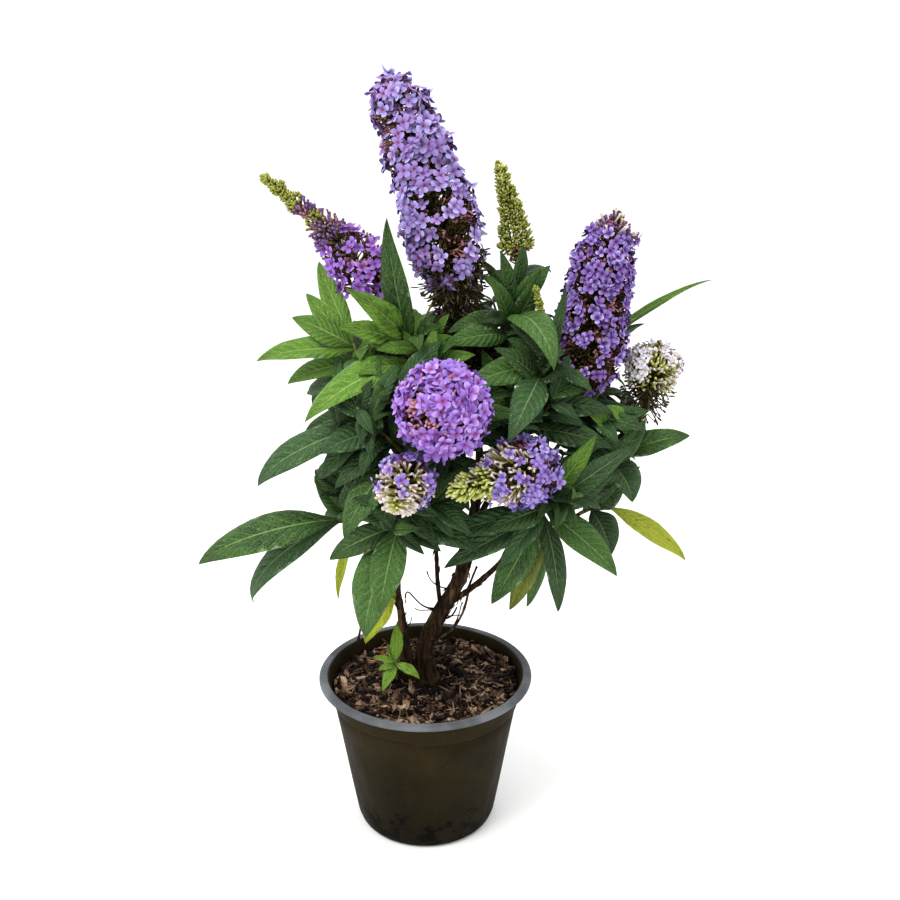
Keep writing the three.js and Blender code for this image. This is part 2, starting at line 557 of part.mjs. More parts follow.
function growLeads(mass) {
  for (const [at, aim, halfWidth, arch] of mass.spec.leads) {
    LEAD_GIVES.some((give) => {
      const tip = vec(aim).addScaledVector(vec(GIVE_LINE), give);
      const blade = bladeOf(mass.path.point(at), tip, faceAt(tip), halfWidth, arch, LEAD_STATIONS);
      return seatLeaf(mass, blade, 1);
    });
  }
}

/** A pair's leaf, which gives way or grows smaller before it is skipped. */
function growLeaf(mass, path, at, azimuth, length, open, arch) {
  const { point, ahead, side, over } = path.frame(at);
  SIZE_GIVES.some((size) => TURN_GIVES.some((give) => {
    const out = side.clone().multiplyScalar(Math.cos(azimuth + give))
      .addScaledVector(over, Math.sin(azimuth + give));
    const heading = ahead.clone().multiplyScalar(Math.cos(open)).addScaledVector(out, Math.sin(open));
    heading.z -= LEAF_SAG;
    const tip = point.clone().addScaledVector(heading.normalize(), length * size);
    const halfWidth = length * size * LEAF_ASPECT;
    return insideCrown(tip)
      && seatLeaf(mass, bladeOf(point, tip, faceAt(tip), halfWidth, arch, LEAF_STATIONS), CROWDING);
  }));
}

function growTwig(mass, at, azimuth, random) {
  const { point, ahead, side, over } = mass.path.frame(at);
  const length = mass.spec.length * mix(0.42, 0.6, random());
  const turn = random() * Math.PI;
  const out = side.clone().multiplyScalar(Math.cos(azimuth)).addScaledVector(over, Math.sin(azimuth));
  const heading = ahead.clone().addScaledVector(out, 0.9).addScaledVector(UP, 0.35).normalize();
  const path = pathOf(point, point.clone().addScaledVector(heading, length));
  const radiusAt = (t) => mix(...TWIG_THICK, t);
  const points = pointsInside(path, (t) => radiusAt(t) + SKIN);
  if (!insideCrown(path.tip) || !space.isFree(points, [mass.spec.name, mass.spec.on])) return;
  space.claim(points, mass.spec.name);
  mass.twigs.push({ path, radiusAt });
  for (const [k, share] of [0.5, 0.96].entries()) {
    for (const half of [0, Math.PI]) {
      growLeaf(mass, path, share, turn + k * PAIR_TURN + half, mass.spec.length * 0.6, 0.95 - 0.3 * k, 0.6);
    }
  }
}

/** Crosswise pairs of leaves up the stem, with side twigs in the axils of the lower ones. */
function growMass(mass) {
  const { pairs, azimuth, length, seed } = mass.spec;
  const random = randomFrom(seed);
  for (let k = 0; k < pairs; k++) {
    const share = (k + 0.6) / pairs;
    for (const half of [0, Math.PI]) {
      const turn = azimuth + k * PAIR_TURN + half + spread(random, 0.3);
      const size = length * (1 + spread(random, 0.12)) * mix(1, 0.72, share);
      growLeaf(mass, mass.path, share, turn, size, mix(1.25, 0.8, share), mix(0.5, 1, random()));
      if (k < pairs - 1) growTwig(mass, share, turn + 0.5, random);
    }
  }
}

function massMesh(mass) {
  const { path, radiusAt, spec } = mass;
  let solid = solidOf(tube(path, radiusAt, 3, 4));
  for (const twig of mass.twigs) solid = solid.add(solidOf(tube(twig.path, twig.radiusAt, 3, 1)));
  for (const blade of mass.blades) solid = solid.add(leafSolid(blade));
  if (mass.bough) solid = solid.subtract(mass.bough.keepOut);
  return meshAt(spec.name, largestPiece(solid), path.foot, spec.tint ?? 'young');
}

function basalShoot() {
  const path = pathOf(vec(BASAL.foot), vec(BASAL.tip));
  const face = vec([0, -0.4, 1]);
  const blades = BASAL.leads.map(([at, tip, halfWidth, arch]) =>
    bladeOf(path.point(at), vec(tip), face, halfWidth, arch, LEAD_STATIONS));
  return massMesh({ spec: BASAL, path, radiusAt: () => 1.1, blades, twigs: [] });
}

// ---- Flower heads ---------------------------------------------------------------------------
const heads = new Map();

/** A flower head's radius at share s of its length, from its list of girths. */
function girthAt(girth, s) {
  const place = THREE.MathUtils.clamp(s, 0, 1) * (girth.length - 1);
  const step = Math.min(Math.floor(place), girth.length - 2);
  return mix(girth[step], girth[step + 1], THREE.MathUtils.smoothstep(place - step, 0, 1));
}

function startBloom(spec) {
  const below = masses.get(spec.on) ?? heads.get(spec.on);
  const path = pathOf(below.path.tip, vec(spec.tip), spec.bow);
  const first = Math.min(0.12, BARE_STALK / path.length);
  const bodyAt = (t) => (t < first || t > 1 ? 0 : girthAt(spec.girth, (t - first) / (1 - first)));
  const radiusAt = (t) => mix(...BLOOM_STALK, t);
  heads.set(spec.name, { spec, path, radiusAt, bodyAt, below, first });
  space.claim(pointsInside(path, (t) => Math.max(bodyAt(t) * BUNCH.out, radiusAt(t)) + SKIN), spec.name);
}

/** A head is its stalk and a body whose alternate corners stand out as bunches of flowers. */
function bloomMesh({ spec, path, radiusAt, bodyAt, below, first }, number) {
  const random = randomFrom(number + 101);
  const widest = Math.max(...spec.girth);
  const pitch = BUNCH.least + BUNCH.share * widest;
  const rings = Math.max(5, Math.round(path.length / pitch));
  const sides = Math.max(6, 2 * Math.round(Math.PI * widest / pitch));
  const body = solidOf(moulded(new THREE.SphereGeometry(1, sides, rings), (corner) => {
    const ring = Math.round(Math.acos(THREE.MathUtils.clamp(corner.y, -1, 1)) / Math.PI * rings);
    const t = mix(first, 1, ring / rings);
    if (ring === 0 || ring === rings) return path.point(t);
    const angle = Math.atan2(corner.z, corner.x);
    const seat = Math.round(angle / (2 * Math.PI) * sides) + ring;
    const radius = bodyAt(t) * ((seat % 2 ? BUNCH.in : BUNCH.out) - random() * BUNCH.uneven);
    const { point, side, over } = path.frame(t);
    return point.addScaledVector(side, Math.cos(angle) * radius)
      .addScaledVector(over, -Math.sin(angle) * radius);
  }));
  const stalk = solidOf(tube(path, radiusAt, 4, 3));
  const keepOut = solidOf(tube(below.path, below.radiusAt, 6, 4, 2 * GAP));
  return meshAt(spec.name, largestPiece(body.add(stalk).subtract(keepOut)), path.foot, spec.tint);
}

// ---- The bush in its pot --------------------------------------------------------------------
const bush = new THREE.Group();
bush.add(meshAt('pot', potSolid(), vec(NONE), 'pot'));
bush.add(meshAt('soil', soilSolid(), vec([0, 0, POT.floor]), 'soil'));
for (const spec of LIMBS) bush.add(growLimb(spec));
MASSES.forEach(startMass);
BLOOMS.forEach(startBloom);
masses.forEach(growLeads);
for (const mass of masses.values()) growMass(mass);
for (const mass of masses.values()) bush.add(massMesh(mass));
[...heads.values()].forEach((head, number) => bush.add(bloomMesh(head, number)));
bush.add(basalShoot());

export default bush;
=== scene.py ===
"""A butterfly bush in its nursery pot: leaves, flower heads, bark, chips and pot, grown over the solids.

Plant sizes are in millimetres, as in the part's source, and turn into metres where a mesh is made.
"""
import math

import bpy
import numpy as np
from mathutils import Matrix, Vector


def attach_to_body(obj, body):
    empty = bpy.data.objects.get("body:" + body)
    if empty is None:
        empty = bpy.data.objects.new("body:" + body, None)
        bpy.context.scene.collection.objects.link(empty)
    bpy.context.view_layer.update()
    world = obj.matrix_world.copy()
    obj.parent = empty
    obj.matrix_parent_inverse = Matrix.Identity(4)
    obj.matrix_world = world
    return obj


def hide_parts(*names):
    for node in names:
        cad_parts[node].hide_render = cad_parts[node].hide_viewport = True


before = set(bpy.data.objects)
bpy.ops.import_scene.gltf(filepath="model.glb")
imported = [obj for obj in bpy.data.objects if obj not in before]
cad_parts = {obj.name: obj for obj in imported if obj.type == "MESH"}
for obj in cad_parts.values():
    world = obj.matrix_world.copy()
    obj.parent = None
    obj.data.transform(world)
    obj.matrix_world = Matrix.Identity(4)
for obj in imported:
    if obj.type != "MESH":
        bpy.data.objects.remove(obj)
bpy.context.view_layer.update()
MM = 0.001
CIRCLE = 2 * math.pi

# ---- The bush's own sizes, as in the solids ---------------------------------------------------
SOIL_TOP, PIT_DEPTH, GAP = 128, 5.5, 0.3
CELL, CELL_SHIFT, CELLS, CELLS_BELOW = 5, 0.37, (160, 160, 180), 10
SAMPLE, SKIN, CROWDING = 2.5, 1, 0.24
FOOT_SHARE = 0.3  # share of a leaf's length round its foot that crowding doesn't count
PAIR_TURN, TURN_STRAY, SIZE_STRAY, TOP_SIZE = math.pi / 2, 0.3, 0.12, 0.72
LEAF_OPENING, LEAF_ARCH = (1.25, 0.8), (0.5, 1)
TWIG_REACH, TWIG_OUT, TWIG_RISE, TWIG_SEATS, TWIG_LEAF = (0.42, 0.6), 0.9, 0.35, (0.5, 0.96), 0.6
LEAF_ASPECT, LEAF_FOLD, LEAF_SAG = 0.148, 0.2, 0.22
LEAF_STATIONS, LEAD_STATIONS = (0, 0.44, 1), (0, 0.24, 0.64, 1)
FACE_UP, FACE_OUTWARD, FACE_SHOW = 0.75, 0.45, 0.8
GIVE_LINE = (0, -1, 0.31)
LEAD_GIVES = (0, 8, -8, 16, -16, 24, -24, 34, -34)
TURN_GIVES = (0, 0.4, -0.4, 0.8, -0.8, 1.2, -1.2)
SIZE_GIVES = (1, 0.8, 0.62)
CROWN_CENTRE, CROWN_REACH, CROWN_SKIRT = (42, 12, 366), (150, 142, 112), 286
STEM_THICK, TWIG_THICK, BLOOM_STALK = (1.9, 1.3), (1.2, 0.9), (1.5, 1.1)
BARE_STALK, BUNCH_OUT = 7, 1.04
NONE = (0, 0, 0)
GROUND = SOIL_TOP - PIT_DEPTH + GAP

# name, parent, share of the parent or foot, tip, thick and thin radius, bow, sway, root flare
LIMBS = [
    ("trunk", None, (0, 15, GROUND), (37, -4, 280), 7.6, 5.8, (-2, 0, 0), (-7, 0, 0), 6),
    ("left_stem", None, (-13, 15, GROUND), (-31, 0, 277), 4.6, 2, (0, -3, 0), NONE, 2.4),
    ("leader", "trunk", 0.97, (46, 8, 355), 4.8, 3, (5, 3, 0), NONE, 0),
    ("left_bough", "trunk", 0.93, (7, -15, 380), 4, 2.4, (-8, -8, -4), NONE, 0),
    ("upper_left_bough", "left_bough", 0.45, (-31, -4, 399), 2.8, 1.9, (-5, 6, 2), NONE, 0),
    ("left_mid_bough", "left_stem", 0.82, (-10, -38, 352), 2.4, 1.8, (-6, -6, 0), NONE, 0),
    ("front_left_bough", "left_stem", 0.58, (-23, -40, 291), 2.4, 1.8, (1, -9, 0), NONE, 0),
    ("slender_stem", "trunk", 0.47, (14, -35, 347), 1.9, 1.5, (-4, 4, 0), NONE, 0),
    ("right_bough", "trunk", 0.98, (110, -5, 351), 4, 2.4, (6, 0, -12), NONE, 0),
    ("upper_right_bough", "leader", 0.5, (61, 8, 396), 2.8, 1.9, (7, 2, -3), NONE, 0),
    ("centre_right_bough", "right_bough", 0.35, (81, -27, 365), 2.6, 1.8, (2, -8, -4), NONE, 0),
    ("right_mid_bough", "right_bough", 0.55, (141, -12, 334), 2.6, 1.8, (4, -2, -8), NONE, 0),
    ("front_right_bough", "trunk", 0.5, (97, -45, 308), 2.6, 1.9, (2, 2, -7), NONE, 0),
    ("low_right_bough", "right_bough", 0.25, (133, 2, 291), 2.6, 1.8, (6, 4, -8), NONE, 0),
    ("back_left_bough", "trunk", 0.86, (-38, 62, 345), 3.4, 2, (2, 10, -8), NONE, 0),
    ("back_right_bough", "trunk", 0.9, (92, 72, 350), 3.4, 2, (-4, 10, -10), NONE, 0),
    ("back_bough", "leader", 0.28, (22, 78, 384), 3, 1.9, (0, 10, -8), NONE, 0),
    ("curved_shoot", "trunk", 0.28, (38, -13, 226), 1.3, 1, (6, -3, -9), NONE, 0),
    ("hanging_twig", "left_stem", 0.66, (-58, -17, 180), 1.5, 1, (-5, -3, 12), NONE, 0),
]

# name, bough, tip, bow, pairs, azimuth, length, seed, tint, leads: share, tip, half width, arch, tint
MASSES = [
    ("leaves_left_low", "left_stem", (-72, -20, 294), (0, -2, 6), 3, 0.3, 84, 11, "leaf", [
        (0.95, (-194, -34, 262), 15.5, 1.0), (0.84, (-158, -2, 207), 12.5, 1.35),
        (0.55, (-79, 2, 209), 5.5, 0.4, "yellow"), (0.4, (-89, 18, 285), 11, 0.8)]),
    ("leaves_front_left", "front_left_bough", (-6, -72, 352), (0, -10, 0), 5, 1.2, 74, 12, "leaf", [
        (0.1, (-51, -74, 211), 18, 0.7, "mid"), (0.22, (-33, -90, 241), 14, 0.5, "mid"),
        (0.15, (-78, -52, 272), 11, 0.8), (0.05, (-45, -22, 220), 7, 0.4, "olive"),
        (0.03, (-53, -8, 172), 11.5, 0.5, "shed")]),
    ("leaves_left_mid", "left_mid_bough", (-50, -48, 395), (0, -6, 4), 5, 0.9, 88, 13, "leaf", [
        (0.7, (-140, -42, 332), 12.5, 1.1), (0.4, (-95, -18, 327), 9, 0.9), (0.15, (-62, -92, 307), 15, 1.0),
        (0.55, (-78, -78, 372), 12.5, 0.8)]),
    ("leaves_upper_left", "upper_left_bough", (-56, -8, 442), (-2, -2, -4), 5, 0.2, 76, 14, "young", [
        (0.9, (-134, -22, 433), 10.5, 0.7), (0.7, (-113, -4, 408), 9.5, 0.8),
        (0.98, (-86, -6, 516), 9.5, 0.35), (0.82, (-96, 18, 480), 9.5, 0.6),
        (0.95, (-105, -12, 464), 10, 0.7)]),
    ("leaves_left_bloom", "left_bough", (-13, -12, 460), (-2, -6, 0), 5, 0.6, 78, 15, "young", [
        (0.82, (-50, -72, 498), 10, 0.5), (0.62, (-90, -78, 398), 13.5, 0.9),
        (0.7, (-25, -44, 537), 10.5, 0.4, "mid")]),
    ("leaves_top", "leader", (41, 8, 396), (2, 0, 0), 3, 0.5, 82, 16, "leaf", []),
    ("leaves_upper_right", "upper_right_bough", (76, 14, 497), (-3, 0, -2), 5, 0.1, 62, 17, "leaf", [
        (0.62, (20, -30, 457), 9, 0.6), (0.36, (112, -72, 424), 15, 1.2), (0.9, (108, 6, 505), 8, 1.2),
        (0.86, (58, -8, 500), 7, 0.5)]),
    ("leaves_centre_right", "centre_right_bough", (97, -25, 440), (2, -3, 0), 4, 0.7, 72, 18, "leaf", [
        (0.85, (34, -60, 420), 12, 0.9), (0.75, (64, -92, 386), 12.5, 0.7), (0.8, (112, -48, 494), 5, 0.5)]),
    ("leaves_right_bloom", "right_bough", (131, -10, 396), (2, 0, 0), 4, 0.4, 80, 19, "leaf", []),
    ("leaves_right_mid", "right_mid_bough", (181, 4, 368), (0, -2, -4), 3, 1.1, 78, 20, "leaf", [
        (0.5, (222, -10, 366), 10, 0.9, "mid"), (0.3, (171, -42, 318), 14.5, 1.3),
        (0.15, (147, -62, 340), 9, 0.9), (0.7, (176, 28, 398), 12, 0.4)]),
    ("leaves_front_right", "front_right_bough", (98, -58, 350), (3, -2, 0), 4, 0.3, 70, 21, "leaf", [
        (0.2, (162, -84, 381), 9.5, 0.5), (0.3, (150, -58, 350), 13, 0.6), (0.12, (158, -72, 267), 13, 0.5),
        (0.05, (113, -62, 228), 9, 0.6), (0.15, (50, -118, 320), 10.5, 1.2, "mid"),
        (0.15, (60, -104, 288), 8, 0.7), (0.04, (56, -56, 232), 12.5, 0.5, "mid"),
        (0.03, (74, -34, 213), 10, 0.4, "olive"), (0.02, (91, -22, 212), 8, 0.4, "mid"),
        (0.08, (17, -76, 274), 10.5, 0.5), (0.1, (8, -64, 298), 10, 0.6),
        (0.4, (134, -104, 392), 8, 0.4, "young")]),
    ("leaves_low_right", "low_right_bough", (158, 5, 297), (0, 0, 2), 3, 0.8, 76, 22, "leaf", [
        (0.95, (233, 10, 247), 10.5, 0.5, "yellow"), (0.4, (159, -20, 262), 13, 0.6)]),
    ("leaves_front_centre", "slender_stem", (24, -60, 396), (0, -5, -2), 4, 0.2, 72, 23, "leaf", []),
    ("leaves_back_left", "back_left_bough", (-66, 92, 398), (-4, 6, -2), 5, 0.3, 94, 24, "leaf", [
        (0.2, (-128, 96, 318), 12, 1.0), (0.5, (-84, 158, 328), 12, 1.0), (0.05, (-50, 132, 286), 12, 0.9)]),
    ("leaves_back_right", "back_right_bough", (134, 78, 404), (6, 4, -4), 5, 0.9, 90, 25, "leaf", [
        (0.84, (234, 34, 487), 6, 0.6, "young"), (0.7, (186, 44, 452), 9, 0.5),
        (0.55, (181, 36, 426), 10.5, 0.6), (0.2, (176, 124, 318), 12, 1.0)]),
    ("leaves_back", "back_bough", (27, 118, 412), (0, 6, 2), 5, 0.6, 92, 26, "leaf", [
        (0.15, (30, 172, 330), 12.5, 1.0), (0.1, (78, 168, 352), 12, 0.9)]),
]

BASAL = ((-26, 3, SOIL_TOP + 1.8 + GAP), (-27, 1, 150), [
    (0.9, (-46, -5, 157), 3.6, 0.5), (0.8, (-41, -13, 150), 4, 0.6), (0.85, (-36, -27, 136), 5, 0.5),
    (0.9, (-5, -19, 144), 5, 0.9), (0.95, (-24, 5, 189), 5.5, 0.25), (0.7, (-34, 12, 162), 3.6, 0.5)])

# name, what it grows from, tip, bow, girth
BLOOMS = [
    ("spent_flowers", "leaves_top", (30, 8, 458), NONE, (9, 23, 27, 23, 12)),
    ("bloom_main", "spent_flowers", (-27, 4, 648), (8, 0, 0), (13, 24, 33, 34, 30, 29, 25, 18)),
    ("bloom_upper_left", "leaves_left_bloom", (-123, -20, 574), (2, 0, 8),
     (12, 19, 25, 25, 19, 14, 10, 9, 7)),
    ("bud_spike", "leaves_upper_right", (59, 18, 584), (4, 0, 0), (8, 17, 15, 13, 11, 9, 6)),
    ("small_bud_spike", "leaves_centre_right", (88, -20, 491), (2, 0, 0), (3, 5.5, 5, 4)),
    ("bloom_right", "leaves_right_bloom", (153, -12, 548), (-5, 0, 0), (17, 29, 31, 29, 27, 26, 21, 12)),
    ("bloom_far_right", "leaves_right_mid", (193, 6, 442), NONE, (8, 16, 22, 25, 17)),
    ("bloom_centre", "leaves_front_centre", (10, -146, 428), NONE, (16, 32, 36, 30, 19)),
    ("bloom_lower_left", "leaves_front_left", (-17, -140, 344), (0, -6, 10), (12, 22, 23, 18, 11)),
    ("bloom_lower_right", "leaves_front_right", (19, -118, 352), (6, -12, 10), (14, 27, 28, 24, 18, 13, 9)),
    ("bloom_back_left", "leaves_back_left", (-92, 170, 388), (0, 0, 14), (14, 26, 28, 24, 16)),
    ("bloom_back_right", "leaves_back_right", (158, 158, 402), (0, 0, 12), (14, 26, 28, 24, 16)),
    ("bloom_back", "leaves_back", (32, 204, 392), (0, 0, 14), (15, 28, 30, 25, 17)),
]

UP = np.array([0.0, 0.0, 1.0])


# ---- Small tools ------------------------------------------------------------------------------
def mix(a, b, t):
    return a + (b - a) * t


def unit(v):
    return v / np.linalg.norm(v, axis=-1, keepdims=True)


def turned(first, second, angle):
    """The way that lies at an angle from the first way towards the second."""
    return first * np.cos(angle) + second * np.sin(angle)


def circle(count):
    """Even turns once round."""
    return CIRCLE * np.arange(count) / count


def round_at(reach, turn):
    """The x and y at a reach from the pot's axis and a turn round it."""
    return reach * np.cos(turn), reach * np.sin(turn)


def smoothstep(value, low, high):
    t = np.clip((value - low) / (high - low), 0, 1)
    return t * t * (3 - 2 * t)


def random_from(seed):
    """The same seeded numbers from 0 to 1 that the solids grow by."""
    word = 0xFFFFFFFF
    state = [seed * 2654435761 & word]

    def draw():
        state[0] = state[0] + 0x6D2B79F5 & word
        mixed = (state[0] ^ state[0] >> 15) * (state[0] | 1) & word
        mixed ^= mixed + ((mixed ^ mixed >> 7) * (mixed | 61) & word) & word
        return (mixed ^ mixed >> 14) / 4294967296

    return draw


def spread(draw, width):
    return (draw() * 2 - 1) * width


# ---- Paths and the space they fill ------------------------------------------------------------
class Path:
    """A gently bent path from foot to tip, with the frame that its cross-sections use."""

    def __init__(self, foot, tip, bow=NONE, sway=NONE):
        self.foot, self.tip, self.bow, self.sway = (np.array(v, float) for v in (foot, tip, bow, sway))
        self.length = np.linalg.norm(self.tip - self.foot)
        steep = abs(self.tip[2] - self.foot[2]) / self.length > 0.7
        self.guide = np.array([0.0, 1.0, 0.0]) if steep else UP

    def point(self, t):
        t = np.asarray(t, float)[..., None]
        straight = self.foot + (self.tip - self.foot) * t
        return straight + self.bow * 4 * t * (1 - t) + self.sway * np.sin(CIRCLE * t)

    def frame(self, t):
        """The point at share t, and the directions ahead, to the side and over."""
        t = np.asarray(t, float)
        ahead = unit(self.point(t + 0.01) - self.point(t - 0.01))
        side = unit(np.cross(ahead, self.guide))
        return self.point(t), ahead, side, np.cross(side, ahead)


def points_inside(path, radius_at):
    steps = math.ceil(path.length / SAMPLE)
    found = []
    for i in range(steps + 1):
        point, _, side, over = path.frame(i / steps)
        radius = radius_at(i / steps)
        rings = math.ceil(radius / SAMPLE)
        for ring in range(rings + 1):
            reach = radius * ring / rings
            count = max(1, math.ceil(CIRCLE * reach / SAMPLE))
            found.append(point + reach * turned(side, over, circle(count)[:, None]))
    return np.concatenate(found)


class Space:
    """Space shared out in cells. Each cell belongs to the first piece that claims it."""

    def __init__(self):
        self.owners = np.zeros(CELLS, np.int16)
        self.names = {}

    def cells(self, points):
        low = np.array([CELLS[0] // 2, CELLS[1] // 2, CELLS_BELOW])
        return tuple((np.floor((points + CELL_SHIFT) / CELL).astype(int) + low).T)

    def claim(self, points, owner):
        number = self.names.setdefault(owner, len(self.names) + 1)
        cells = self.cells(points)
        self.owners[cells] = np.where(self.owners[cells] == 0, number, self.owners[cells])

    def is_free(self, points, friends):
        holders = self.owners[self.cells(points)]
        return bool(np.isin(holders, [0] + [self.names.get(name, -1) for name in friends]).all())

    def crowding(self, points):
        return float((self.owners[self.cells(points)] > 0).mean()) if len(points) else 0.0


space = Space()


# ---- Leaves -----------------------------------------------------------------------------------
def outline_at(s):
    """Half width of a leaf's outline at share s of its length, over its widest."""
    s = np.asarray(s, float)
    return np.where(s < 1, np.sin(math.pi * np.clip(s, 0, 1) ** 0.8).clip(0) ** 0.85, 0)


class Blade:
    """A leaf's midline: an arc from root to tip that arches over towards its face."""

    def __init__(self, root, tip, face, half_width, arch):
        chord = tip - root
        reach = np.linalg.norm(chord)
        chord = chord / reach
        lift = unit(face - chord * (face @ chord))
        self.start, self.upper = turned(chord, lift, arch / 2), turned(lift, -chord, arch / 2)
        self.bend = reach / (2 * math.sin(arch / 2))
        self.side = np.cross(self.upper, self.start)
        self.root, self.half_width, self.arch = root, half_width, arch
        self.length = self.bend * arch
        self.tint, self.freedom = "leaf", 1.0  # freedom is how far its own curl and twist may lead it off

    def station(self, s):
        """Points on the midline at shares s of its length, and which way the leaf faces there."""
        turn = self.arch * np.asarray(s, float)[..., None]
        ahead, over = self.start * self.bend, self.upper * self.bend
        point = self.root + ahead * np.sin(turn) - over * (1 - np.cos(turn))
        return point, turned(self.upper, self.start, turn)


def blade_points(blade, stations):
    """Points over both sides of a leaf."""
    rings, faces = blade.station(stations)
    halves = blade.half_width * outline_at(stations)
    found = []
    for i in range(1, len(stations)):
        steps = math.ceil(np.linalg.norm(rings[i] - rings[i - 1]) / SAMPLE)
        t = (np.arange(1, steps + 1) / steps)[:, None]
        middle, face = mix(rings[i - 1], rings[i], t), mix(faces[i - 1], faces[i], t)
        half = mix(halves[i - 1], halves[i], t)
        across = np.ceil(half / SAMPLE)
        k = np.arange(-across.max(), across.max() + 1)[None, :]
        out = np.where(across > 0, half * k / np.maximum(across, 1), 0)
        used = np.abs(k) <= across
        for skin in (-SKIN, SKIN):
            lift = np.abs(out) * LEAF_FOLD + skin
            spots = middle[:, None] + blade.side * out[..., None] + face[:, None] * lift[..., None]
            found.append(spots[used])
    return np.concatenate(found)


def beyond_foot(points, blade):
    """Those of a leaf's points that lie clear of the crowded place where it grows from."""
    return points[np.linalg.norm(points - blade.root, axis=1) > blade.length * FOOT_SHARE]


def inside_crown(point):
    share = sum(((p - c) / r) ** 2 for p, c, r in zip(point, CROWN_CENTRE, CROWN_REACH))
    return share < 1 and point[2] > CROWN_SKIRT


def face_at(point):
    """The way a leaf's upper face looks: up, out from the crown, and to the show side or the back."""
    x, y, _ = CROWN_CENTRE
    to_back = min(1, max(-1, (point[1] - y - 30) / 40))
    out = unit(np.array([point[0] - x, point[1] - y, 0]))
    return out * FACE_OUTWARD + np.array([0, FACE_SHOW * to_back, FACE_UP])


# ---- Growth: limbs, stems, heads, leading leaves, then the leaves of the rule -----------------
class Shoot:
    """A limb, stem, twig or stalk: a path and its radius."""

    def __init__(self, path, radius_at):
        self.path, self.radius_at = path, radius_at


def taper(thick, thin, flare=0):
    return lambda t: mix(thick, thin, t) + flare * math.exp(-max(t, 0) / 0.09)


limbs = {}
for name, parent, at, tip, thick, thin, bow, sway, flare in LIMBS:
    foot = limbs[parent].path.point(at) if parent else at
    limbs[name] = Shoot(Path(foot, tip, bow, sway), taper(thick, thin, flare))
    space.claim(points_inside(limbs[name].path, limbs[name].radius_at), name)


class Mass:
    def __init__(self, name, on, tip, bow, pairs, azimuth, length, seed, tint, leads):
        self.name, self.on, self.pairs, self.azimuth, self.length = name, on, pairs, azimuth, length
        self.seed, self.tint, self.leads = seed, tint, leads
        self.path = Path(limbs[on].path.tip, tip, bow)
        self.radius_at = taper(*STEM_THICK)
        self.blades, self.twigs, self.leaves = [], [], Space()
        space.claim(points_inside(self.path, self.radius_at), name)

    def seat(self, blade, crowding, stations, tint=None):
        """Seats a leaf where it touches no other piece and crowds few leaves of its own mass."""
        points = blade_points(blade, stations)
        if not space.is_free(points, (self.name, self.on)):
            return False
        beyond = beyond_foot(points, blade)
        if self.leaves.crowding(beyond) > crowding:
            return False
        space.claim(points, self.name)
        self.leaves.claim(beyond, self.name)
        blade.tint = tint or self.tint
        self.blades.append(blade)
        return True

    def grow_leads(self):
        for at, aim, half_width, arch, *tint in self.leads:
            for give in LEAD_GIVES:
                tip = np.array(aim, float) + np.array(GIVE_LINE) * give
                blade = Blade(self.path.point(at), tip, face_at(tip), half_width, arch)
                blade.freedom = 0.35
                if self.seat(blade, 1, LEAD_STATIONS, *tint):
                    break

    def grow_leaf(self, path, at, azimuth, length, opening, arch, crowding=CROWDING):
        """A pair's leaf, which gives way or grows smaller before it is skipped."""
        point, ahead, side, over = path.frame(at)
        for size in SIZE_GIVES:
            for give in TURN_GIVES:
                heading = turned(ahead, turned(side, over, azimuth + give), opening) - UP * LEAF_SAG
                tip = point + unit(heading) * length * size
                if not inside_crown(tip):
                    continue
                blade = Blade(point, tip, face_at(tip), length * size * LEAF_ASPECT, arch)
                if self.seat(blade, crowding, LEAF_STATIONS):
                    return True
        return False

    def grow_twig(self, at, azimuth, draw):
        point, ahead, side, over = self.path.frame(at)
        length = self.length * mix(*TWIG_REACH, draw())
        turn = draw() * math.pi
        out = turned(side, over, azimuth)
        path = Path(point, point + unit(ahead + out * TWIG_OUT + UP * TWIG_RISE) * length)
        radius_at = taper(*TWIG_THICK)
        points = points_inside(path, lambda t: radius_at(t) + SKIN)
        if not inside_crown(path.tip) or not space.is_free(points, (self.name, self.on)):
            return
        space.claim(points, self.name)
        self.twigs.append(Shoot(path, radius_at))
        for k, share in enumerate(TWIG_SEATS):
            for half in (0, math.pi):
                facing = turn + k * PAIR_TURN + half
                self.grow_leaf(path, share, facing, self.length * TWIG_LEAF, 0.95 - 0.3 * k, 0.6)

    def grow(self):
        """Crosswise pairs of leaves up the stem, with side twigs in the axils of the lower ones."""
        draw = random_from(self.seed)
        for k in range(self.pairs):
            share = (k + 0.6) / self.pairs
            for half in (0, math.pi):
                turn = self.azimuth + k * PAIR_TURN + half + spread(draw, TURN_STRAY)
                size = self.length * (1 + spread(draw, SIZE_STRAY)) * mix(1, TOP_SIZE, share)
                opening, arch = mix(*LEAF_OPENING, share), mix(*LEAF_ARCH, draw())
                self.grow_leaf(self.path, share, turn, size, opening, arch)
                if k < self.pairs - 1:
                    self.grow_twig(share, turn + 0.5, draw)


class Head:
    """A flower head: its stalk, and the girth of its flowers along it."""

    def __init__(self, name, on, tip, bow, girth):
        self.girth = girth
        below = masses.get(on) or heads[on]
        self.path = Path(below.path.tip, tip, bow)
        self.first = min(0.12, BARE_STALK / self.path.length)
        self.radius_at = taper(*BLOOM_STALK)
        claimed = lambda t: max(self.body_at(t) * BUNCH_OUT, self.radius_at(t)) + SKIN
        space.claim(points_inside(self.path, claimed), name)

    def body_at(self, t):
        if t < self.first or t > 1:
            return 0
        place = (t - self.first) / (1 - self.first) * (len(self.girth) - 1)
        step = min(int(place), len(self.girth) - 2)
        return mix(self.girth[step], self.girth[step + 1], smoothstep(place - step, 0, 1))


masses = {row[0]: Mass(*row) for row in MASSES}
heads = {}
for row in BLOOMS:
    heads[row[0]] = Head(*row)
for mass in masses.values():
    mass.grow_leads()
for mass in masses.values():
    mass.grow()


dice = np.random.default_rng(7)


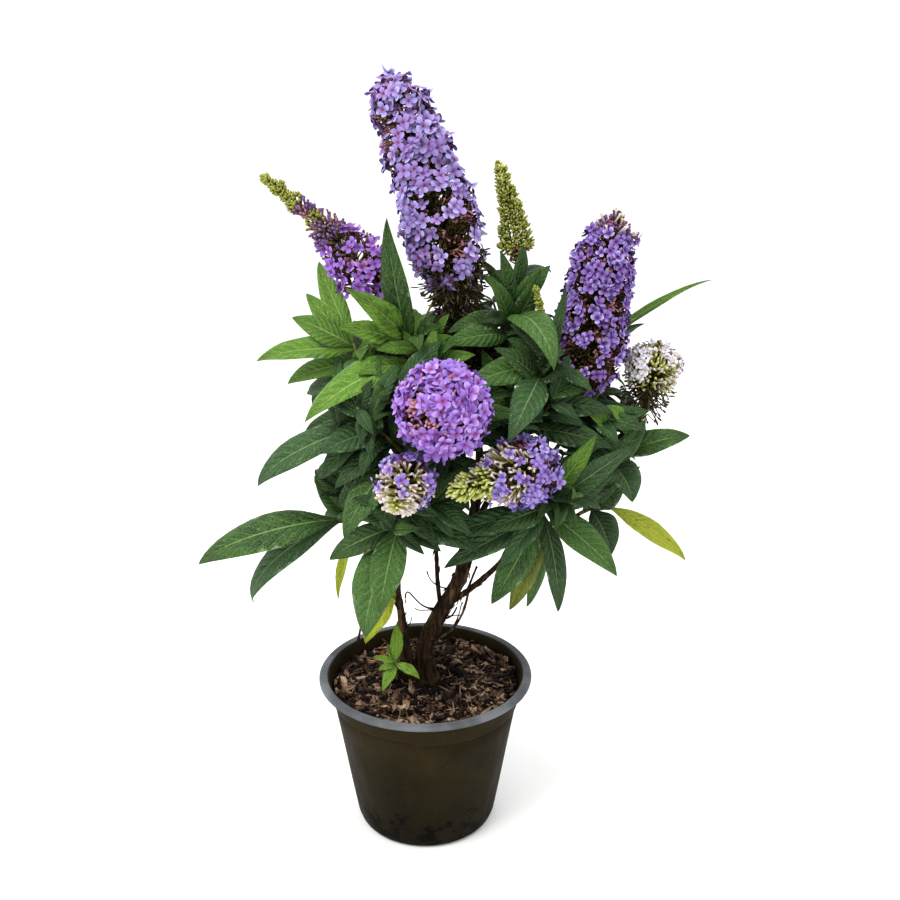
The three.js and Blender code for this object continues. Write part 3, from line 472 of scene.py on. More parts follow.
def any_turn(count):
    return dice.uniform(0, CIRCLE, count)


# Leaves that need no solid of their own: mass, root, tip, half width, arch and tint.
EXTRA_LEAVES = [
    ("leaves_front_left", (-24, 0, 222), (-57, -8, 173), 11.5, 0.5, "yellow"),
    ("leaves_upper_right", (72, 8, 457), (102, -85, 443), 14, 1.3, "mid"),
    ("leaves_upper_right", (71, 10, 448), (58, -22, 502), 8, 0.5, "mid"),
    ("leaves_upper_right", (73, 10, 452), (98, -14, 500), 8, 0.9, "mid"),
    ("leaves_upper_right", (70, 6, 446), (20, -46, 446), 10, 0.7, "mid"),
    ("leaves_upper_right", (73, 12, 470), (46, -4, 497), 5.5, 0.8, "mid"),
    ("leaves_left_bloom", (-12, -10, 440), (-62, -50, 462), 10, 0.7, "young"),
    ("leaves_right_mid", (168, 0, 362), (150, -42, 398), 9, 0.5, "young"),
    ("leaves_right_mid", (160, -4, 352), (128, -48, 402), 9, 0.5, "young"),
    ("leaves_upper_right", (72, 10, 458), (62, -3, 514), 8, 0.4, "mid"),
    ("leaves_upper_right", (75, 8, 470), (99, -8, 505), 8, 0.6, "mid"),
    ("leaves_upper_right", (74, 12, 478), (80, 0, 522), 6, 0.4, "mid"),
    ("leaves_upper_right", (72, 16, 462), (50, 10, 508), 6, 0.5, "leaf"),
]


# Filling leaves: share of one that may lie among other leaves, how much more it sags than those of
# the rule, half its width over its length, and its seats along a stem or twig with its size there.
FILL_CROWDING, FILL_SAG, FILL_ASPECT = 0.45, 1.6, 0.16
FILL_STEM, FILL_TWIG = (np.arange(0.1, 1, 0.13), 0.8), ((0.25, 0.62, 0.95), 0.58)


def seat_freely(mass, blade):
    """Seats a leaf that may lie among other leaves, but not where a limb or flower head is."""
    points = blade_points(blade, LEAF_STATIONS)
    beyond = beyond_foot(points, blade)
    if not space.is_free(beyond, tuple(masses)) or space.crowding(beyond) > FILL_CROWDING:
        return False
    space.claim(points, mass.name)
    blade.tint = mass.tint
    mass.blades.append(blade)
    return True


def fill(mass):
    """Drooping leaves in the axils, wherever the crown still has room."""
    shoots = [(mass.path, *FILL_STEM)] + [(twig.path, *FILL_TWIG) for twig in mass.twigs]
    for number, (path, shares, size) in enumerate(shoots):
        for k, share in enumerate(shares):
            point, ahead, side, over = path.frame(share)
            for half in (0, math.pi):
                turn = mass.azimuth + 0.8 + 1.9 * k + number + half
                for give in TURN_GIVES[:5]:
                    out = turned(side, over, turn + give)
                    heading = unit(turned(ahead, out, dice.uniform(0.7, 1.2)) - UP * LEAF_SAG * FILL_SAG)
                    length = mass.length * size * dice.uniform(0.8, 1.1) * mix(1, 0.7, share)
                    tip = point + heading * length
                    if inside_crown(tip):
                        half_width, arch = length * FILL_ASPECT, dice.uniform(0.5, 1.1)
                        blade = Blade(point, tip, face_at(tip), half_width, arch)
                        if seat_freely(mass, blade):
                            break


for name, root, tip, half_width, arch, tint in EXTRA_LEAVES:
    root, tip = np.array(root, float), np.array(tip, float)
    blade = Blade(root, tip, face_at(tip), half_width, arch)
    blade.tint = tint
    space.claim(blade_points(blade, LEAD_STATIONS), name)
    masses[name].blades.append(blade)
for mass in masses.values():
    fill(mass)


# ---- Meshes -----------------------------------------------------------------------------------
def grid_faces(rows, columns, closed):
    """Quads between neighbouring rows of corners; closed rings join their last corner to the first."""
    spans = columns if closed else columns - 1
    row, column = np.meshgrid(np.arange(rows - 1) * columns, np.arange(spans), indexing="ij")
    right, above = (column + 1) % columns, row + columns
    corners = (row + column, row + right, above + right, above + column)
    return np.stack([c.ravel() for c in corners], axis=1)


# A piece's map has four tiles, and each leaf, floret or bud lies in one of them for its own shade.
TILES = np.array([(0, 0), (1, 0), (0, 1), (1, 1)])


def put(name, data):
    """A new object in the scene."""
    item = bpy.data.objects.new(name, data)
    bpy.context.scene.collection.objects.link(item)
    return item


class Batch:
    """Many small shapes gathered into one piece."""

    def __init__(self):
        self.points, self.faces, self.places, self.count = [], [], [], 0

    def add(self, points, faces, places=None):
        points = np.asarray(points, float).reshape(-1, 3)
        self.points.append(points)
        self.faces.append(np.asarray(faces) + self.count)
        self.places.append(np.zeros((len(points), 2)) if places is None else np.asarray(places, float))
        self.count += len(points)

    def add_many(self, shapes, faces, places=None):
        """Shapes with the same faces: an array of shapes by corners by three."""
        number, corners = shapes.shape[:2]
        all_faces = (faces[None] + (np.arange(number) * corners)[:, None, None]).reshape(-1, faces.shape[1])
        if places is not None:
            places = (places[None] + dice.choice(TILES, number)[:, None]) / 2
            places = places.reshape(-1, 2)
        self.add(shapes, all_faces, places)

    def make(self, name, paint, slot, stands_for=(), smooth=True, mapped=False):
        points, faces = np.concatenate(self.points), np.concatenate(self.faces)
        mesh = bpy.data.meshes.new(name)
        mesh.vertices.add(len(points))
        mesh.vertices.foreach_set("co", (points * MM).ravel())
        mesh.loops.add(faces.size)
        mesh.loops.foreach_set("vertex_index", faces.ravel())
        mesh.polygons.add(len(faces))
        mesh.polygons.foreach_set("loop_start", np.arange(0, faces.size, faces.shape[1]))
        mesh.polygons.foreach_set("use_smooth", np.full(len(faces), smooth))
        if mapped:
            layer = mesh.uv_layers.new(name="OFBake")
            layer.data.foreach_set("uv", np.concatenate(self.places)[faces.ravel()].ravel())
        mesh.update(calc_edges=True)
        mesh.validate()
        mesh.materials.append(paint)
        piece = put(name, mesh)
        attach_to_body(piece, "root")
        if stands_for:
            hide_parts(*stands_for)


def frames_from(ahead, roll):
    """Side and over directions square to each direction ahead, turned by roll."""
    guide = np.where(np.abs(ahead[:, 2:]) > 0.9, [[1.0, 0, 0]], [[0, 0, 1.0]])
    side = unit(np.cross(ahead, guide))
    over = np.cross(side, ahead)
    return turned(side, over, roll[:, None]), turned(over, -side, roll[:, None])


def tubes(batch, feet, ahead, lengths, profile, sides, bend=0.0):
    """Small round-sectioned shapes, each from a foot along its own direction.

    profile lists share of the length and radius; bend curls the far end over, as a share of length.
    """
    side, over = frames_from(ahead, any_turn(len(feet)))
    turn = circle(sides)
    rings = []
    for share, radius in profile:
        centre = feet + ahead * (lengths * share)[:, None] + over * (lengths * bend * share**2)[:, None]
        ring = turned(side[:, None], over[:, None], turn[:, None])
        rings.append(centre[:, None] + ring * radius)
    shares = np.repeat([share for share, _ in profile], sides)
    places = np.stack([0.1 + 0.8 * np.tile(turn / CIRCLE, len(profile)), 0.05 + 0.9 * shares], axis=1)
    batch.add_many(np.concatenate(rings, axis=1), grid_faces(len(profile), sides, True)[:, ::-1], places)


def limb_tube(batch, path, radius_at, sides, spacing, relief=None, ends=(0, 1)):
    """A tube round a path, closed at both ends, with an optional relief over turn and length."""
    steps = max(4, math.ceil(path.length * (ends[1] - ends[0]) / spacing))
    shares = np.linspace(*ends, steps + 1)
    point, _, side, over = path.frame(shares)
    radius = np.array([radius_at(t) for t in shares])[:, None] * np.ones(sides)
    turn = circle(sides)
    if relief:
        radius = radius + relief(turn[None, :] + 0 * radius, shares[:, None] * path.length + 0 * radius)
    radius = np.concatenate([radius[:1] * 0.02, radius, radius[-1:] * 0.5, radius[-1:] * 0.02])
    point = np.concatenate([point[:1], point, point[-1:], point[-1:]])
    side, over = (np.concatenate([v[:1], v, v[-1:], v[-1:]]) for v in (side, over))
    ring = turned(side[:, None], over[:, None], turn[:, None])
    batch.add(point[:, None] + ring * radius[..., None], grid_faces(len(point), sides, True)[:, ::-1])


class Noise:
    """Smooth random values over turn and length, joined up all round."""

    LONG = 400

    def __init__(self, seed, around, spacing):
        self.values = np.random.default_rng(seed).uniform(-1, 1, (around, self.LONG))
        self.around, self.spacing = around, spacing

    def __call__(self, turn, along):
        x, y = turn / CIRCLE * self.around, along / self.spacing
        i, j = np.floor(x).astype(int), np.floor(y).astype(int)
        u, v = smoothstep(x - i, 0, 1), smoothstep(y - j, 0, 1)
        pick = lambda a, b: self.values[a % self.around, b % self.LONG]
        return mix(mix(pick(i, j), pick(i + 1, j), u), mix(pick(i, j + 1), pick(i + 1, j + 1), u), v)


# ---- Paints -----------------------------------------------------------------------------------
def tone(code):
    """A hex colour as linear red, green, blue and one."""
    parts = [int(code[i:i + 2], 16) / 255 for i in (0, 2, 4)]
    return tuple(p / 12.92 if p <= 0.04045 else ((p + 0.055) / 1.055) ** 2.4 for p in parts) + (1.0,)


def attach(tree, socket, item):
    if isinstance(item, Wire):
        tree.links.new(item.socket, socket)
    else:
        socket.default_value = item


class Wire:
    """An output of a node. Operators on it add Math or Vector Math nodes."""

    def __init__(self, tree, socket):
        self.tree, self.socket = tree, socket

    def join(self, operation, *items):
        vector = self.socket.type == "VECTOR"
        node = self.tree.nodes.new("ShaderNodeVectorMath" if vector else "ShaderNodeMath")
        node.operation = operation
        for socket, item in zip(node.inputs, items):
            attach(self.tree, socket, (item,) * 3 if vector and isinstance(item, (int, float)) else item)
        return Wire(self.tree, node.outputs[0])

    def __add__(self, other):
        return self.join("ADD", self, other)

    def __sub__(self, other):
        return self.join("SUBTRACT", self, other)

    def __rsub__(self, other):
        return self.join("SUBTRACT", other, self)

    def __mul__(self, other):
        return self.join("MULTIPLY", self, other)

    def __pow__(self, other):
        return self.join("POWER", self, other)

    __radd__, __rmul__ = __add__, __mul__

    def absolute(self):
        return self.join("ABSOLUTE", self)

    def floor(self):
        return self.join("FLOOR", self)

    def fraction(self):
        return self.join("FRACT", self)


class Paint:
    """A material under construction round its own Principled shader."""

    def __init__(self, name, **constants):
        self.material = bpy.data.materials.new(name)
        self.material.use_nodes = True
        self.tree = self.material.node_tree
        self.shader = self.tree.nodes["Principled BSDF"]
        for socket, value in constants.items():
            self.set(socket.replace("_", " "), value)

    def set(self, socket, item):
        attach(self.tree, self.shader.inputs[socket], item)

    def node(self, kind, settings=None, output=0, **inputs):
        node = self.tree.nodes.new("ShaderNode" + kind)
        for name, value in (settings or {}).items():
            setattr(node, name, value)
        for name, item in inputs.items():
            attach(self.tree, node.inputs[name.replace("_", " ")], item)
        return Wire(self.tree, node.outputs[output])

    def blend(self, factor, a, b):
        node = self.tree.nodes.new("ShaderNodeMix")
        node.data_type = "RGBA"
        for number, item in ((0, factor), (6, a), (7, b)):
            attach(self.tree, node.inputs[number], item)
        return Wire(self.tree, node.outputs[2])

    def between(self, value, low, high, first=0.0, last=1.0):
        return self.node("MapRange", {"interpolation_type": "SMOOTHSTEP"}, Value=value,
                         From_Min=low, From_Max=high, To_Min=first, To_Max=last)

    def place(self):
        """Where a point is on the object, in metres."""
        return self.node("TexCoord", output=3)

    def flat_place(self):
        """Where a point is on its leaf, floret or bud, from 0 to 1 both ways, and which tile that lies in."""
        doubled = self.node("UVMap", {"uv_map": "OFBake"}) * 2.0
        x, y, _ = self.split(doubled)
        return doubled, x.fraction(), y.fraction(), x.floor(), y.floor()

    def fading(self, value, low, high, first=1.0):
        return self.between(value, low, high, first, 0.0)

    def split(self, vector):
        return [self.node("SeparateXYZ", output=axis, Vector=vector) for axis in range(3)]

    def stretched(self, vector, *scale):
        return self.node("Mapping", Vector=vector, Scale=scale)

    def noise(self, vector, scale, detail=3.0, roughness=0.55):
        return self.node("TexNoise", Vector=vector, Scale=scale, Detail=detail, Roughness=roughness)

    def bump(self, height, distance, strength=1.0):
        self.set("Normal", self.node("Bump", Height=height, Distance=distance, Strength=strength))

    def coat(self, base, *layers):
        """Lays colours over the base colour, each by its own factor, and gives the finished material."""
        face = tone(base)
        for factor, colour in layers:
            face = self.blend(factor, face, tone(colour) if isinstance(colour, str) else colour)
        self.set("Base Color", face)
        return self.material


SIDE_VEINS, VEIN_SLANT, LEAF_NET = 12.0, 0.2, (52.0, 17.0, 1.0)
# How strongly the net, the side veins and the midrib show.
UPPER_VEINS, UNDER_VEINS = (0.24, 0.22, 0.7), (0.3, 0.5, 0.9)


def leaf_paint(name, deep, base, vein, other, under=False, spots=None):
    """A leaf's face: finely netted and quilted between sunk side veins, with a thin pale midrib."""
    paint = Paint(name, Specular_IOR_Level=0.25 if under else 0.36)
    uv, along, across, shade, hue = paint.flat_place()
    out = (across - 0.5).absolute() * 2.0
    to_vein = (((along - out * VEIN_SLANT) * SIDE_VEINS).fraction() - 0.5).absolute()
    side_vein = paint.fading(to_vein, 0.0, 0.09) * paint.fading(out, 0.7, 0.95)
    midrib = paint.fading(out + along * 0.04, 0.03, 0.09)
    cells = paint.stretched(uv, *LEAF_NET)
    net = paint.node("TexVoronoi", {"feature": "DISTANCE_TO_EDGE"}, Vector=cells, Scale=1.0)
    quilt = paint.between(net, 0.0, 0.32)
    paint.set("Roughness", 0.85 if under else paint.between(quilt, 0.0, 1.0, 0.6, 0.46))
    relief = quilt * 0.5 + paint.between(to_vein, 0.0, 0.5) * 0.9 - midrib * 0.8
    paint.bump(relief * (-1.0 if under else 1.0), 0.0009, 0.8)
    net_shows, side_shows, rib_shows = UNDER_VEINS if under else UPPER_VEINS
    layers = [(paint.between(paint.noise(uv, 5.0), 0.35, 0.65), base), (hue * 0.55, other),
              (shade * 0.45, deep), (paint.fading(net, 0.02, 0.13) * net_shows, vein),
              (side_vein * side_shows, vein), (midrib * rib_shows, vein)]
    if spots:
        layers.append((paint.between(paint.noise(uv, 11.0, 5.0, 0.65), 0.6, 0.66), spots))
    return paint.coat(deep, *layers)


def petal_paint(name, petal, edge, eye, other, dot):
    """A floret's face: a small warm eye, petals that pale towards their edge, and fine streaks."""
    paint = Paint(name, Specular_IOR_Level=0.2, Roughness=0.62)
    uv, x, y, shade, hue = paint.flat_place()
    reach = ((x - 0.5) * (x - 0.5) + (y - 0.5) * (y - 0.5)) ** 0.5 * 2.0
    streak = paint.between(paint.noise(uv, 18.0, 2.0), 0.42, 0.7)
    return paint.coat(petal, (paint.between(reach, 0.2, 0.95), edge), (streak * 0.4, petal),
                      (hue * 0.6, other), (shade * 0.4, petal), (paint.fading(reach, 0.14, 0.46, 0.6), eye),
                      (paint.fading(reach, 0.08, 0.2, 0.85), dot))


def tube_paint(name, foot, tip, fleck):
    """A bud or flower tube, from the colour of its foot to that of its tip."""
    paint = Paint(name, Specular_IOR_Level=0.25, Roughness=0.7)
    uv, _, along, shade, hue = paint.flat_place()
    speck = paint.between(paint.noise(uv, 9.0, 3.0), 0.5, 0.7)
    return paint.coat(foot, (paint.between(along, 0.25, 0.8), tip), (speck * 0.35, fleck),
                      (shade * 0.35, fleck), (hue * 0.3, foot))


def bark_paint(name, deep, base, pale, scale=1.0):
    """Shredding bark: long fibres, with paler loose strips and dark cracks."""
    paint = Paint(name, Specular_IOR_Level=0.2)
    place = paint.place()
    fibres = paint.noise(paint.stretched(place, 420 * scale, 420 * scale, 45 * scale), 1.0, 5.0)
    strips = paint.noise(paint.stretched(place, 160 * scale, 160 * scale, 16 * scale), 1.0, 3.0)
    patch = paint.between(paint.noise(place, 60 * scale, 3.0), 0.5, 0.7)
    paint.set("Roughness", paint.between(fibres, 0.3, 0.7, 0.95, 0.75))
    paint.bump(fibres * 0.6 + strips, 0.0012, 0.9)
    return paint.coat(deep, (paint.between(fibres, 0.35, 0.62), base),
                      (paint.between(strips, 0.52, 0.66) * 0.7, pale), (patch * 0.4, deep))


def chip_paint(name, deep, base, pale):
    """A bark chip's or fibre's grain, with damp and dust-covered patches."""
    paint = Paint(name, Specular_IOR_Level=0.2, Roughness=0.85)
    place = paint.place()
    grain = paint.noise(paint.stretched(place, 900.0, 260.0, 260.0), 1.0, 4.0)
    patch = paint.between(paint.noise(place, 120.0, 2.0), 0.5, 0.68)
    return paint.coat(deep, (paint.between(grain, 0.35, 0.65), base), (patch * 0.7, pale))


def stem_paint(name, deep, base, fuzz):
    """A young stem, felted and a little streaked."""
    paint = Paint(name, Specular_IOR_Level=0.25, Roughness=0.8)
    place = paint.place()
    streak = paint.noise(paint.stretched(place, 500.0, 500.0, 60.0), 1.0, 3.0)
    felt = paint.between(paint.noise(place, 900.0, 2.0), 0.5, 0.72)
    return paint.coat(deep, (paint.between(streak, 0.35, 0.65), base), (felt * 0.5, fuzz))


def pot_paint():
    """Moulded plastic: fine grain, rubbed high places, splashed mud low down, painted shade that darkens the
    wall towards the bottom, and a pale rim top that is a painted reflection of the sky.
    """
    paint = Paint("pot_plastic", Specular_IOR_Level=0.06)
    place = paint.place()
    x, y, height = paint.split(place)
    reach = (x * x + y * y) ** 0.5
    cloud = paint.noise(place, 16.0, 4.0)
    streak = paint.noise(paint.stretched(place, 60.0, 60.0, 9.0), 1.0, 4.0)
    speck = paint.noise(place, 420.0, 2.0)
    mud = paint.noise(place, 75.0, 6.0, 0.7) + paint.fading(height, 0.012, 0.05) * 0.17
    splash = paint.between(mud, 0.62, 0.7) * paint.fading(height, 0.03, 0.08)
    # Painted reflection of the sky: the top of the rim, out from the mouth, is coloured pale grey.
    rim = paint.between(height, 0.1365, 0.1385) * paint.between(reach, 0.0868, 0.0884)
    painted_rim_reflection = paint.blend(paint.between(cloud, 0.4, 0.6), tone("57595c"), tone("74777b"))
    paint.set("Roughness", paint.between(streak, 0.3, 0.7, 0.45, 0.62))
    paint.bump(speck * 0.5 + splash, 0.0004, 0.6)
    # The fading with height darkens the wall towards the bottom: painted shade.
    return paint.coat("251f11", (paint.between(cloud, 0.35, 0.65), "302918"),
                      (paint.between(streak, 0.5, 0.72) * 0.35, "3d3523"),
                      (paint.fading(height, 0.01, 0.12, 0.6), "161208"), (splash * 0.85, "080604"),
                      (paint.between(speck, 0.68, 0.74) * 0.3, "5c5443"), (rim * 0.95, painted_rim_reflection))


# ---- Leaf sheets ------------------------------------------------------------------------------
ALONG = np.array([0, 0.03, 0.08, 0.15, 0.23, 0.31, 0.39, 0.47, 0.55, 0.63, 0.71, 0.79, 0.86, 0.92, 0.97, 1])
HALF_WIDTHS = np.array([0.05, 0.09, 0.23, 0.48, 0.75, 0.92, 0.99, 1,
                        0.96, 0.87, 0.74, 0.58, 0.41, 0.26, 0.11, 0])
ACROSS = np.array([-1, -0.72, -0.36, 0, 0.36, 0.72, 1])
LEAF_PLACES = np.stack([c.ravel() for c in np.meshgrid(
    0.02 + 0.96 * ALONG, 0.5 + 0.48 * ACROSS, indexing="ij")], axis=1)
LEAF_FACES = grid_faces(len(ALONG), len(ACROSS), False)
LEAF_THICK = 0.4
TIP_HOOK = 0.028  # how far the tip hooks down, over the leaf's length


def leaf_sheets(blade):
    """The upper and under faces of a leaf: a winged stalk, two puffed halves and a hooked tip."""
    wave, twist, curl = dice.uniform(0, 6.28), dice.normal(0, 0.2), dice.uniform(0.02, 0.11)
    ripple, crease, sweep = dice.uniform(0.3, 0.9), LEAF_FOLD * dice.uniform(0.7, 2.6), dice.normal(0, 0.04)
    twist, curl, sweep = (part * blade.freedom for part in (twist, curl, sweep))
    point, face = blade.station(ALONG)
    half = blade.half_width * 1.05 * HALF_WIDTHS + 0.1
    lean = twist * (ALONG - 0.1) + 0.06 * np.sin(5 * ALONG + wave)
    side, over = turned(blade.side, face, lean[:, None]), turned(face, -blade.side, lean[:, None])
    belly = np.sin(math.pi * ALONG)[:, None]
    out = half[:, None] * ACROSS + sweep * blade.length * (ALONG**2)[:, None]
    fold = np.abs(half[:, None] * ACROSS) * (crease + 0.1 * np.sin(2.2 * ALONG + wave)[:, None])
    puff = half[:, None] * (0.13 * np.sin(math.pi * np.abs(ACROSS)) - 0.16 * ACROSS**4)
    edge = ripple * ACROSS**4 * (np.sin(15 * ALONG[:, None] + wave + 2.0 * np.sign(ACROSS)) - 1) * belly
    droop = -blade.length * (curl * ALONG**4 + TIP_HOOK * ALONG**12)[:, None]
    height = fold + puff - 0.3 * np.exp(-((ACROSS / 0.2) ** 2)) * belly + edge + droop
    upper = point[:, None] + side[:, None] * out[..., None] + over[:, None] * height[..., None]
    under = upper - over[:, None] * (LEAF_THICK * (1 - ACROSS**4))[None, :, None]
    return upper.reshape(-1, 3), under.reshape(-1, 3)


LEAF_TINTS = {"leaf": (("leaf", 0.66), ("mid", 0.34)), "young": (("young", 0.68), ("mid", 0.32))}
leaf_tops = {tint: Batch() for tint in ("leaf", "mid", "young", "yellow", "olive", "fresh")}
leaf_backs = {tint: Batch() for tint in ("green", "yellow")}


def add_leaf(blade):
    shades = LEAF_TINTS.get(blade.tint, ((blade.tint, 1.0),))
    if blade.tint == "young" and blade.freedom < 1:
        shades = (("young", 1.0),)
    tint = dice.choice([name for name, _ in shades], p=[share for _, share in shades])
    upper, under = leaf_sheets(blade)
    places = (LEAF_PLACES + dice.choice(TILES)) / 2
    leaf_tops[tint].add(upper, LEAF_FACES[:, ::-1], places)
    leaf_backs["yellow" if tint in ("yellow", "olive") else "green"].add(under, LEAF_FACES, places)


for mass in masses.values():
    for blade in mass.blades:
        if blade.tint != "shed":
            add_leaf(blade)

basal_foot, basal_tip, basal_leads = BASAL
basal = Shoot(Path(basal_foot, basal_tip), lambda t: 1.1)
for at, tip, half_width, arch in basal_leads:
    blade = Blade(basal.path.point(at), np.array(tip, float), np.array([0, -0.4, 1.0]), half_width, arch)
    blade.tint = "fresh"
    add_leaf(blade)

LEAF_PIECES = [
    ("leaf", "leaves_dark", "leaf", ("172c16", "2e501f", "8aa674", "30532c")),
    ("mid", "leaves_mid", "leaf", ("1c3813", "34571e", "8eac6c", "426727")),
    ("young", "leaves_young", "young", ("3b6417", "678f29", "b2cc7a", "577f2a")),
    ("yellow", "leaves_yellow", "young", ("8a9218", "b2b82a", "d0d062", "98a826")),
    ("olive", "leaves_olive", "young", ("56601a", "7a832c", "a7ab58", "5f7626")),
    ("fresh", "leaves_basal", "young", ("5f8f22", "8fbb3a", "cce08e", "7aa52e")),
]
for tint, name, slot, tones in LEAF_PIECES:
    leaf_tops[tint].make(name, leaf_paint(name, *tones, spots="35260f" if tint == "yellow" else None), slot,
                         list(masses) if tint == "leaf" else (), mapped=True)
UNDER_PIECES = [
    ("green", "leaf_undersides", "leaf", "leaf_under", ("5a6e50", "748868", "a0b290", "687e5c")),
    ("yellow", "yellow_undersides", "young", "leaf_under_yellow", ("868c40", "a3a756", "c9c88a", "929a4c")),
]
for tint, name, slot, paint_name, tones in UNDER_PIECES:
    leaf_backs[tint].make(name, leaf_paint(paint_name, *tones, under=True), slot, mapped=True)

# ---- Young stems, twigs and stalks ------------------------------------------------------------
stems = Batch()
for mass in masses.values():
    for shoot in [mass] + mass.twigs:
        limb_tube(stems, shoot.path, shoot.radius_at, 8, 4)
limb_tube(stems, basal.path, basal.radius_at, 6, 4)
for head in heads.values():
    limb_tube(stems, head.path, head.radius_at, 6, 5, ends=(0, 0.97))
stems.make("young_stems", stem_paint("young_stem", "4d4a28", "77753f", "a3a083"), "young", ["basal_shoot"])


# ---- Bark -------------------------------------------------------------------------------------
JOINTS_APART = 27


def bark_relief(seed, thick):
    """Long ridges and cracks, deeper on thicker limbs, with a swelling at each old leaf joint."""
    ridges, cracks, joint = Noise(seed, 11, 16), Noise(seed + 1, 23, 5), Noise(seed + 2, 3, 30)
    depth, swelling = 0.09 * thick + 0.12, 0.1 * thick + 0.25

    def relief(turn, along):
        knot = np.exp(-((((along + 9) % JOINTS_APART) - 13) / 2.2) ** 2) * swelling
        furrows = depth * (0.8 * ridges(turn, along) + 0.5 * cracks(turn, along))
        return furrows + 0.06 * thick * joint(turn, along) + knot

    return relief


bark = Batch()
for number, limb in enumerate(limbs.values()):
    thick = limb.radius_at(0.5)
    sides, spacing = (30, 1.6) if thick > 4 else (16 if thick > 2 else 12, 2.4)
    limb_tube(bark, limb.path, limb.radius_at, sides, spacing, bark_relief(40 + 3 * number, thick))
bark.make("bark", bark_paint("bark_brown", "1b120c", "40301f", "735b45"), "bark", list(limbs))

# ---- Dead twigs and stubs ---------------------------------------------------------------------
class Curl(Path):
    """A path that bends towards each of a few points in turn."""

    def __init__(self, points):
        super().__init__(points[0], points[-1])
        self.points = np.array(points, float)

    def point(self, t):
        t, last = np.asarray(t, float)[..., None], len(self.points) - 1
        weights = [math.comb(last, k) * t**k * (1 - t) ** (last - k) for k in range(last + 1)]
        return sum(weight * spot for weight, spot in zip(weights, self.points))


# limb, share of it where the twig stands, the points that it bends towards, and its thickness
DEAD_TWIGS = [
    ("trunk", 0.5, [(-4, 0, 197), (-10, 0, 212), (-13, 0, 224), (-19, 0, 223), (-17, 0, 208)], 0.8),
    ("trunk", 0.47, [(2, -3, 205), (-6, -4, 200), (-9, -5, 206)], 0.6),
    ("front_right_bough", 0.24, [(40, -13, 236), (45, -14, 249)], 1.3),
    ("trunk", 0.42, [(23, 2, 191), (25, -1, 197), (28, -2, 205)], 1.1),
    ("trunk", 0.44, [(22, 2, 195), (29, -1, 195), (34, -3, 199)], 0.7),
    ("curved_shoot", 0.45, [(32, -6, 201), (30, -8, 208), (33, -9, 213)], 0.7),
    ("trunk", 0.62, [(12, -2, 222), (4, -5, 230), (2, -7, 242)], 0.7),
    ("left_stem", 0.5, [(-24, -2, 204), (-28, -4, 208), (-27, -6, 217)], 0.8),
    ("left_stem", 0.36, [(-17, 2, 182), (-12, -1, 188), (-12, -2, 195)], 0.7),
    ("trunk", 0.3, [(8, 0, 168), (10, -6, 173), (14, -8, 180)], 0.9),
]
dead = Batch()
for limb, share, bends, thick in DEAD_TWIGS:
    twig = Curl([limbs[limb].path.point(share), *bends])
    limb_tube(dead, twig, taper(thick, thick * 0.6), 7, 1.5, bark_relief(3, 0.8))

# ---- Flower heads -----------------------------------------------------------------------------
# A floret's outline: four round petals with five corners each, the last of them in the notch.
OFF_PETAL = np.tile(np.radians([-30, -10, 10, 30, 45]), 4)
PETAL_NUMBER = np.repeat(np.arange(4), 5)
FLORET_TURN = PETAL_NUMBER * math.pi / 2 + OFF_PETAL
PETAL_OUT, PETAL_ROUND = 0.6, 0.42
ROUND_LEFT = (PETAL_ROUND**2 - (PETAL_OUT * np.sin(OFF_PETAL)) ** 2).clip(0)
LOBES = PETAL_OUT * np.cos(OFF_PETAL) + np.sqrt(ROUND_LEFT)
RINGS = np.array([0.05, 0.15, 0.6, 1.0])
RING_DEPTH = np.array([-0.16, -0.03, 0.07, -0.02])
FLORET_FACES = grid_faces(len(RINGS), len(FLORET_TURN), True)
FLORET_REACH_OUT = np.where(RINGS[:, None] > 0.2, RINGS[:, None] * LOBES[None, :], RINGS[:, None] + 0 * LOBES)
FLORET_PLACES = np.stack([0.5 + 0.48 * (FLORET_REACH_OUT * trig(FLORET_TURN)).ravel()
                          for trig in (np.cos, np.sin)], axis=1)

# Outlines of tubes, buds and stalks: share of the length, and radius.
OPEN_TUBE = ((0, 0.5), (0.05, 1.0), (0.25, 1.1), (1, 1.0))
CLOSED_TUBE = ((0, 0.4), (0.05, 1.05), (0.24, 1.15), (0.3, 0.75),
               (0.7, 0.85), (0.84, 1.35), (0.95, 1.15), (1, 0.15))
LONG_TUBE = ((0, 0.4), (0.04, 1.0), (0.2, 1.15), (0.28, 0.7),
             (0.7, 0.8), (0.86, 1.25), (0.96, 1.0), (1, 0.15))
BUD = ((0, 0.35), (0.15, 0.8), (0.5, 1.0), (0.8, 0.85), (0.95, 0.5), (1, 0.1))
DRY_TUBE = ((0, 0.35), (0.08, 1.0), (0.4, 1.05), (0.46, 0.5), (0.85, 0.4), (0.94, 0.8), (1, 0.1))
DRY_STALK = ((0, 0.7), (0.35, 0.6), (0.7, 0.5), (0.82, 1.3), (0.94, 1.1), (1, 0.1))
TRUMPET = ((0, 0.4), (0.05, 1.0), (0.22, 1.1), (0.3, 0.8), (0.8, 0.95), (0.95, 1.3), (1, 0.5))

# kind: outline, length, girth, how far its tip stays under the skin, how much it curls, and its sides
CLOSED = {
    "purple": (CLOSED_TUBE, 9.0, 0.9, 0.0, 0.1, 5),
    "maroon": (LONG_TUBE, 10.5, 0.85, 0.0, 0.12, 5),
    "rose": (LONG_TUBE, 11.5, 0.95, -1.0, 0.1, 6),
    "cream": (TRUMPET, 13.5, 0.9, -2.0, 0.1, 6),
    "green": (BUD, 4.6, 0.95, 0.0, 0.08, 5),
    "lime": (BUD, 7.0, 1.1, -0.5, 0.08, 6),
    "spent": (DRY_TUBE, 8.5, 0.75, 0.5, 0.22, 4),
    "dry": (DRY_STALK, 14.0, 0.76, -7.0, 0.7, 4),
}
FINE = ("green",)
